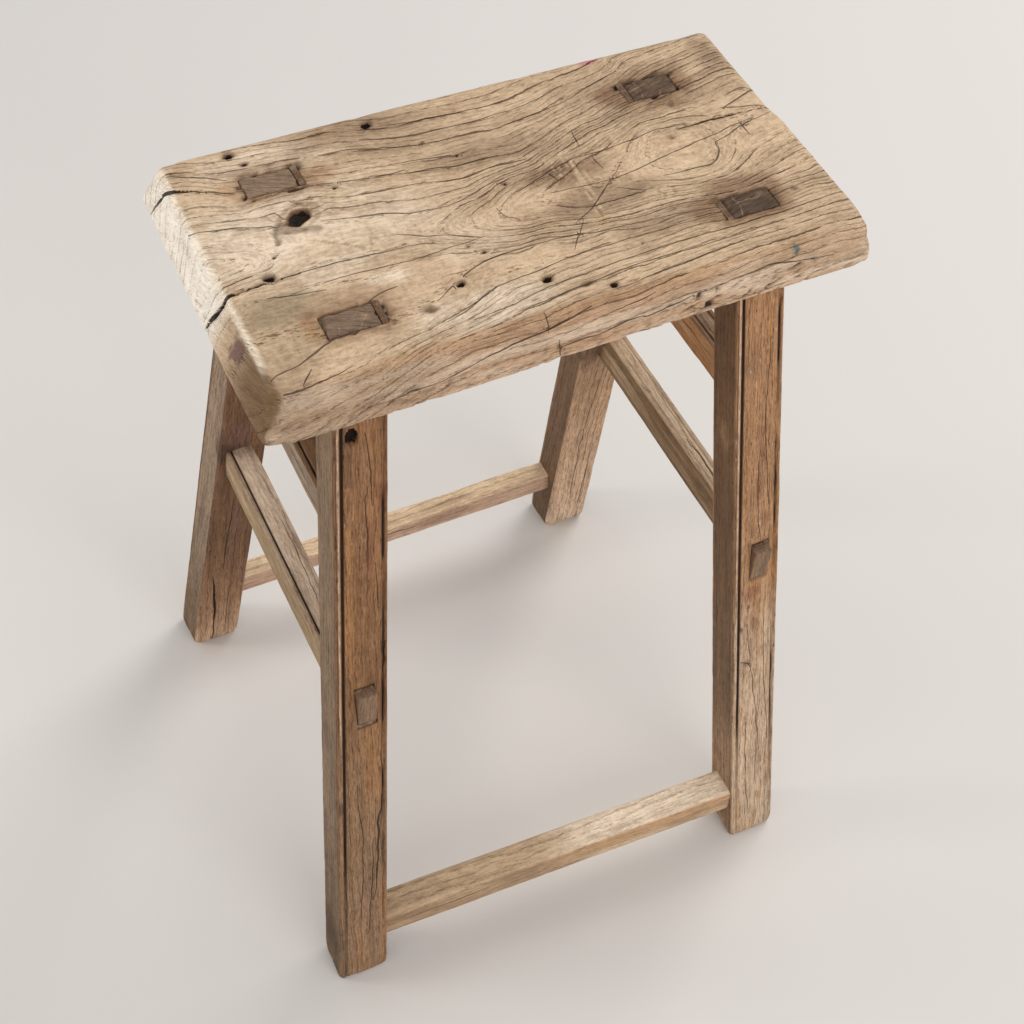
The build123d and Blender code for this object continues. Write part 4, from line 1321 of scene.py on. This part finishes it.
# ================================================================ the stretchers
# For each stretcher: its edges' radius, how much painted shade darkens the groove along each upper edge
# (towards the stool's left and right, or None), the colours of its top and its sides, and its seed
BAR_LOOKS = {
    "stretcher_front": {"radius": 4.0, "darkening": None, "top": PALE, "side": TAN, "seed": 500},
    "stretcher_back": {"radius": 1.8, "darkening": None, "top": PALE, "side": PINK, "seed": 600},
    # On the lower side stretchers the pale tops and darker sides are partly painted light and shade.
    "side_stretcher_lower_left": {
        "radius": 2.4, "darkening": (1.0, 0.15), "seed": 700,
        "top": colour(206, 186, 166), "side": colour(166, 142, 110),
    },
    "side_stretcher_lower_right": {
        "radius": 1.6, "darkening": (0.25, 0.3), "seed": 800,
        "top": colour(208, 186, 160), "side": colour(132, 106, 78),
    },
    "side_stretcher_upper_left": {
        "radius": 1.0, "darkening": (1.0, 0.3), "seed": 900,
        "top": BROWN, "side": GREY,
    },
    "side_stretcher_upper_right": {
        "radius": 1.0, "darkening": (0.7, 0.5), "seed": 1000,
        "top": GREY, "side": ORANGE,
    },
}
SIDE_GROOVE_INSET = 3.5
SIDE_GROOVE_DEPTH = 1.4
BAR_CRACKS = {
    "stretcher_front": [(0.4, 1.0, [(-110, 10, 2), (-20, 10, 4)])],
    "stretcher_back": [(0.8, 0.9, [(-60, -8, 3), (20, -8, 1)])],
    "side_stretcher_lower_left": [(0.4, 1.0, [(-40, -3, 13), (20, -4, 13)])],
    "side_stretcher_lower_right": [(0.9, 1.0, [(-70, 1, 12.5), (-20, 0, 12.5)])],
    "side_stretcher_upper_left": [(0.7, 0.9, [(-40, 8, 2), (40, 8, 3)])],
    "side_stretcher_upper_right": [(0.7, 0.9, [(-40, -8, 2), (40, -8, 3)])],
}


def bar_wood(node, bar, tenon):
    """A stretcher between two legs. tenon is how much of each end is its tenon."""
    look = BAR_LOOKS[node]
    seed = look["seed"]
    low = bar.low.copy()
    high = bar.high.copy()
    low[0] += tenon
    high[0] -= tenon
    flat, faces = box_surface(
        spaced(low[0], high[0], 1.6), spaced(low[1], high[1], 0.42), spaced(low[2], high[2], 0.42)
    )
    radius = look["radius"] + 0.35 * noise(flat, (45, 45, 45), seed)
    local, away = rounded(flat, np.maximum(radius, 0.5))
    along, out, up = local.T
    wood = Wood(local, faces)
    drift = 2.5 * noise(np.column_stack([along, 0 * along, 0 * along]), (120, 9, 9), seed + 1)
    wood.grain = np.column_stack([along, out * 0.7 + up * 0.7 + drift, out * 0.7 - up * 0.7 + 53 * seed])
    rings = (out * 0.6 + up + drift + 1.5 * noise(local, (80, 20, 20), seed + 2)) / 3.8
    wood.grow(rings, 3.8, 0.8)

    top = smooth(0.3, 0.9, away[:, 2])
    # Sides and top take their own colours; on the lower side stretchers these are partly painted light and
    # shade.
    tint = blend(np.tile(np.array(look["side"]), (len(local), 1)), look["top"], 0.9 * top)
    tint = blend(tint, PALE, 0.4 * smooth(0.0, 0.7, noise(wood.grain, (60, 5, 5), seed + 3, 2)))
    tint = blend(tint, BROWN, 0.45 * smooth(0.1, 0.7, noise(wood.grain, (45, 6, 6), seed + 4, 3)))
    # The front stretcher is browner on its left half. On its right half it has a painted cream highlight
    # along the top and more orange on the upper part of its sides.
    if node == "stretcher_front":
        right = smooth(-20, 30, along)
        tint = blend(tint, BROWN, 0.4 * (1 - right))
        tint = blend(tint, CREAM, 0.7 * right * top)
        tint = blend(tint, ORANGE, 0.45 * right * (1 - top) * smooth(-4, 4, up))

    sink = np.zeros(len(local))
    # Along each upper edge a groove, cut deeper and darkened by the amount given for that edge, and the
    # band between the groove and the edge painted brown: painted shade in and beside the groove.
    if look["darkening"]:
        points_x = bar.world(np.column_stack([0 * along, out, 0 * up]))[:, 0]
        half = (high[1] - low[1]) / 2
        middle = (high[1] + low[1]) / 2
        near = np.abs(half - np.abs(out - middle) - SIDE_GROOVE_INSET)
        cut = (1 - smooth(0.0, 1.1, near)) * top
        groove_shade = np.where(points_x < np.median(points_x), *look["darkening"])
        sink += SIDE_GROOVE_DEPTH * cut * np.clip(1.5 * groove_shade, 0.3, 1)
        wood.darken(groove_shade * (1 - smooth(0.3, 1.0, near)) * top)
        tint = blend(tint, BROWN, 0.6 * groove_shade * top * (half - np.abs(out - middle) < SIDE_GROOVE_INSET))
    depth = cracks(wood, local, away, BAR_CRACKS[node], seed + 5)
    edge = 1 - np.abs(away).max(1)
    wood.wear_and_sheen = 0.7 * edge / 0.3
    relief = 0.2 * noise(wood.grain, (35, 5, 5), seed + 6, 2)
    relief = relief + 0.12 * noise(wood.grain, (9, 1.4, 1.4), seed + 7, 2)
    chipped = 0.9 * edge / 0.3 * smooth(0.15, 0.75, noise(local, (12, 8, 8), seed + 8, 2))
    sink = sink + depth + chipped - np.minimum(relief, 0.25)
    # Painted shade over the last few millimetres of each end, where the stretcher meets a leg.
    ends = np.maximum(smooth(low[0] + 9, low[0] + 2, along), smooth(high[0] - 9, high[0] - 2, along))
    wood.darken(0.4 * ends)
    wood.points = bar.world(local - away * sink[:, None])
    wood.tint = tint
    return wood


def through_tenon_wood(bar, at_start, seed):
    """The end of a through tenon, flush with the leg's outer face."""
    shift = -(bar.high[1] - bar.low[1] - SIDE_TENON) / 2
    start = bar.low[0] if at_start else bar.high[0] - TENON_END_LENGTH
    flat, faces = box_surface(
        spaced(start, start + TENON_END_LENGTH, 1.2),
        spaced(shift - SIDE_TENON / 2, shift + SIDE_TENON / 2, 0.4),
        spaced(bar.low[2], bar.high[2], 0.4),
    )
    local, away = rounded(flat, 0.8)
    along, out, up = local.T
    wood = Wood(local, faces)
    wood.grain = np.column_stack([up * 0.6, out * 1.5 + 9, along])
    rings = (out + 0.3 * up + noise(local, (7, 7, 7), seed)) / 3.0
    wood.grow(rings, 3.0, 0.5)
    tint = np.tile(np.array(colour(138, 114, 94)), (len(local), 1))
    wood.tint = blend(tint, BROWN, 0.5 * smooth(-0.1, 0.6, noise(local, (5, 5, 8), seed + 1, 2)))
    worn = 0.45 * smooth(0.0, 0.8, noise(local, (5, 4, 4), seed + 2, 2))
    worn = worn * smooth(0.5, 0.9, np.abs(away[:, 0]))
    wood.points = bar.world(local - away * worn[:, None])
    return wood


# ================================================================ putting the stool together
def build_stool():
    """Every visible piece, each standing for its CAD node."""
    legs = {name: LegLine(name) for name in LEGS}
    bars = {node: BarLine(node) for node in BAR_LOOKS}
    materials = {
        "elm_seat": wood_material("seat_elm", 0.8, 0.22, 1.1, 1.7),
        "elm_leg": wood_material("leg_elm", 0.45, 0.32, 1.2, 1.5),
        "elm_stretcher": wood_material("stretcher_elm", 0.3, 0.2, 0.7, 1.0),
        "elm_side_stretcher": wood_material("side_stretcher_elm", 0.3, 0.24, 0.8, 1.2),
    }
    pieces = [("seat", "elm_seat", [seat_wood(legs)])]
    for name, leg in legs.items():
        tenon_bar = bars["side_stretcher_lower_" + name.split("_")[1]]
        woods = [leg_wood(name, leg, tenon_bar), leg_tenon_wood(name, leg)]
        pieces.append(("leg_" + name, "elm_leg", woods))
    for node, bar in bars.items():
        lower = "lower" in node
        woods = [bar_wood(node, bar, THROUGH_TENON_LENGTH if lower else STUB_TENON_LENGTH)]
        if lower:
            woods += [through_tenon_wood(bar, True, 71), through_tenon_wood(bar, False, 81)]
        slot = "elm_side_stretcher" if "side" in node else "elm_stretcher"
        pieces.append((node, slot, woods))
    for node, slot, woods in pieces:
        piece = to_object("worn_" + node, woods, materials[slot])
        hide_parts(node)
        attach(piece, "root")
    wedge = wedge_material()
    for node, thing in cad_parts.items():
        if "wedge" in node:
            thing.data.materials.clear()
            thing.data.materials.append(wedge)


# ================================================================ the stage
def build_floor():
    """A plain painted floor."""
    half = FLOOR_SIZE / 2 * MM
    mesh = bpy.data.meshes.new("floor")
    corners = [(-half, -half, 0), (half, -half, 0), (half, half, 0), (-half, half, 0)]
    mesh.from_pydata(corners, [], [(0, 1, 2, 3)])
    mesh.materials.append(floor_material())
    floor = bpy.data.objects.new("floor", mesh)
    bpy.context.scene.collection.objects.link(floor)


def build_camera():
    """The camera, from its place and its turn, downward tilt and roll."""
    turn, down, roll = (math.radians(a) for a in (CAMERA_TURN, CAMERA_DOWN, CAMERA_ROLL))
    forward = Vector((math.sin(turn) * math.cos(down), math.cos(turn) * math.cos(down), -math.sin(down)))
    right = forward.cross(Vector((0, 0, 1))).normalized()
    up = right.cross(forward)
    right, up = (
        right * math.cos(roll) + up * math.sin(roll),
        up * math.cos(roll) - right * math.sin(roll),
    )
    data = bpy.data.cameras.new("camera")
    data.lens = CAMERA_LENS
    data.sensor_width = 36.0
    data.clip_start = 0.05
    camera = bpy.data.objects.new("camera", data)
    facing = Matrix((right, up, -forward)).transposed().to_4x4()
    camera.matrix_world = Matrix.Translation(Vector(CAMERA_POSITION) * MM) @ facing
    bpy.context.scene.collection.objects.link(camera)
    bpy.context.scene.camera = camera


def area_light(name, place, target, size, power, light_colour):
    """A round soft light that points at a target."""
    data = bpy.data.lights.new(name, "AREA")
    data.shape = "DISK"
    data.size = size
    data.energy = power
    data.color = light_colour
    light = bpy.data.objects.new(name, data)
    light.location = place
    light.rotation_euler = (Vector(target) - Vector(place)).to_track_quat("-Z", "Y").to_euler()
    bpy.context.scene.collection.objects.link(light)


def build_light():
    """A pale studio, with a window behind on the right, a fill in front and a low light on the left."""
    world = bpy.data.worlds.new("studio")
    world.use_nodes = True
    background = world.node_tree.nodes["Background"]
    background.inputs["Color"].default_value = (1.0, 0.985, 0.97, 1.0)
    background.inputs["Strength"].default_value = 0.6
    bpy.context.scene.world = world
    area_light("window", (2.0, 1.0, 2.2), (0, 0, 0.2), 1.6, 30.0, (1.0, 0.985, 0.96))
    area_light("fill", (0.4, -2.4, 1.3), (0, 0, 0.22), 1.8, 22.0, (1.0, 0.97, 0.94))
    area_light("low", (-1.2, 0.5, 0.72), (-0.17, 0.02, 0.49), 0.4, 3.6, (1.0, 0.97, 0.93))
    bpy.context.scene.view_settings.view_transform = "Standard"


build_stool()
build_floor()
build_camera()
build_light()
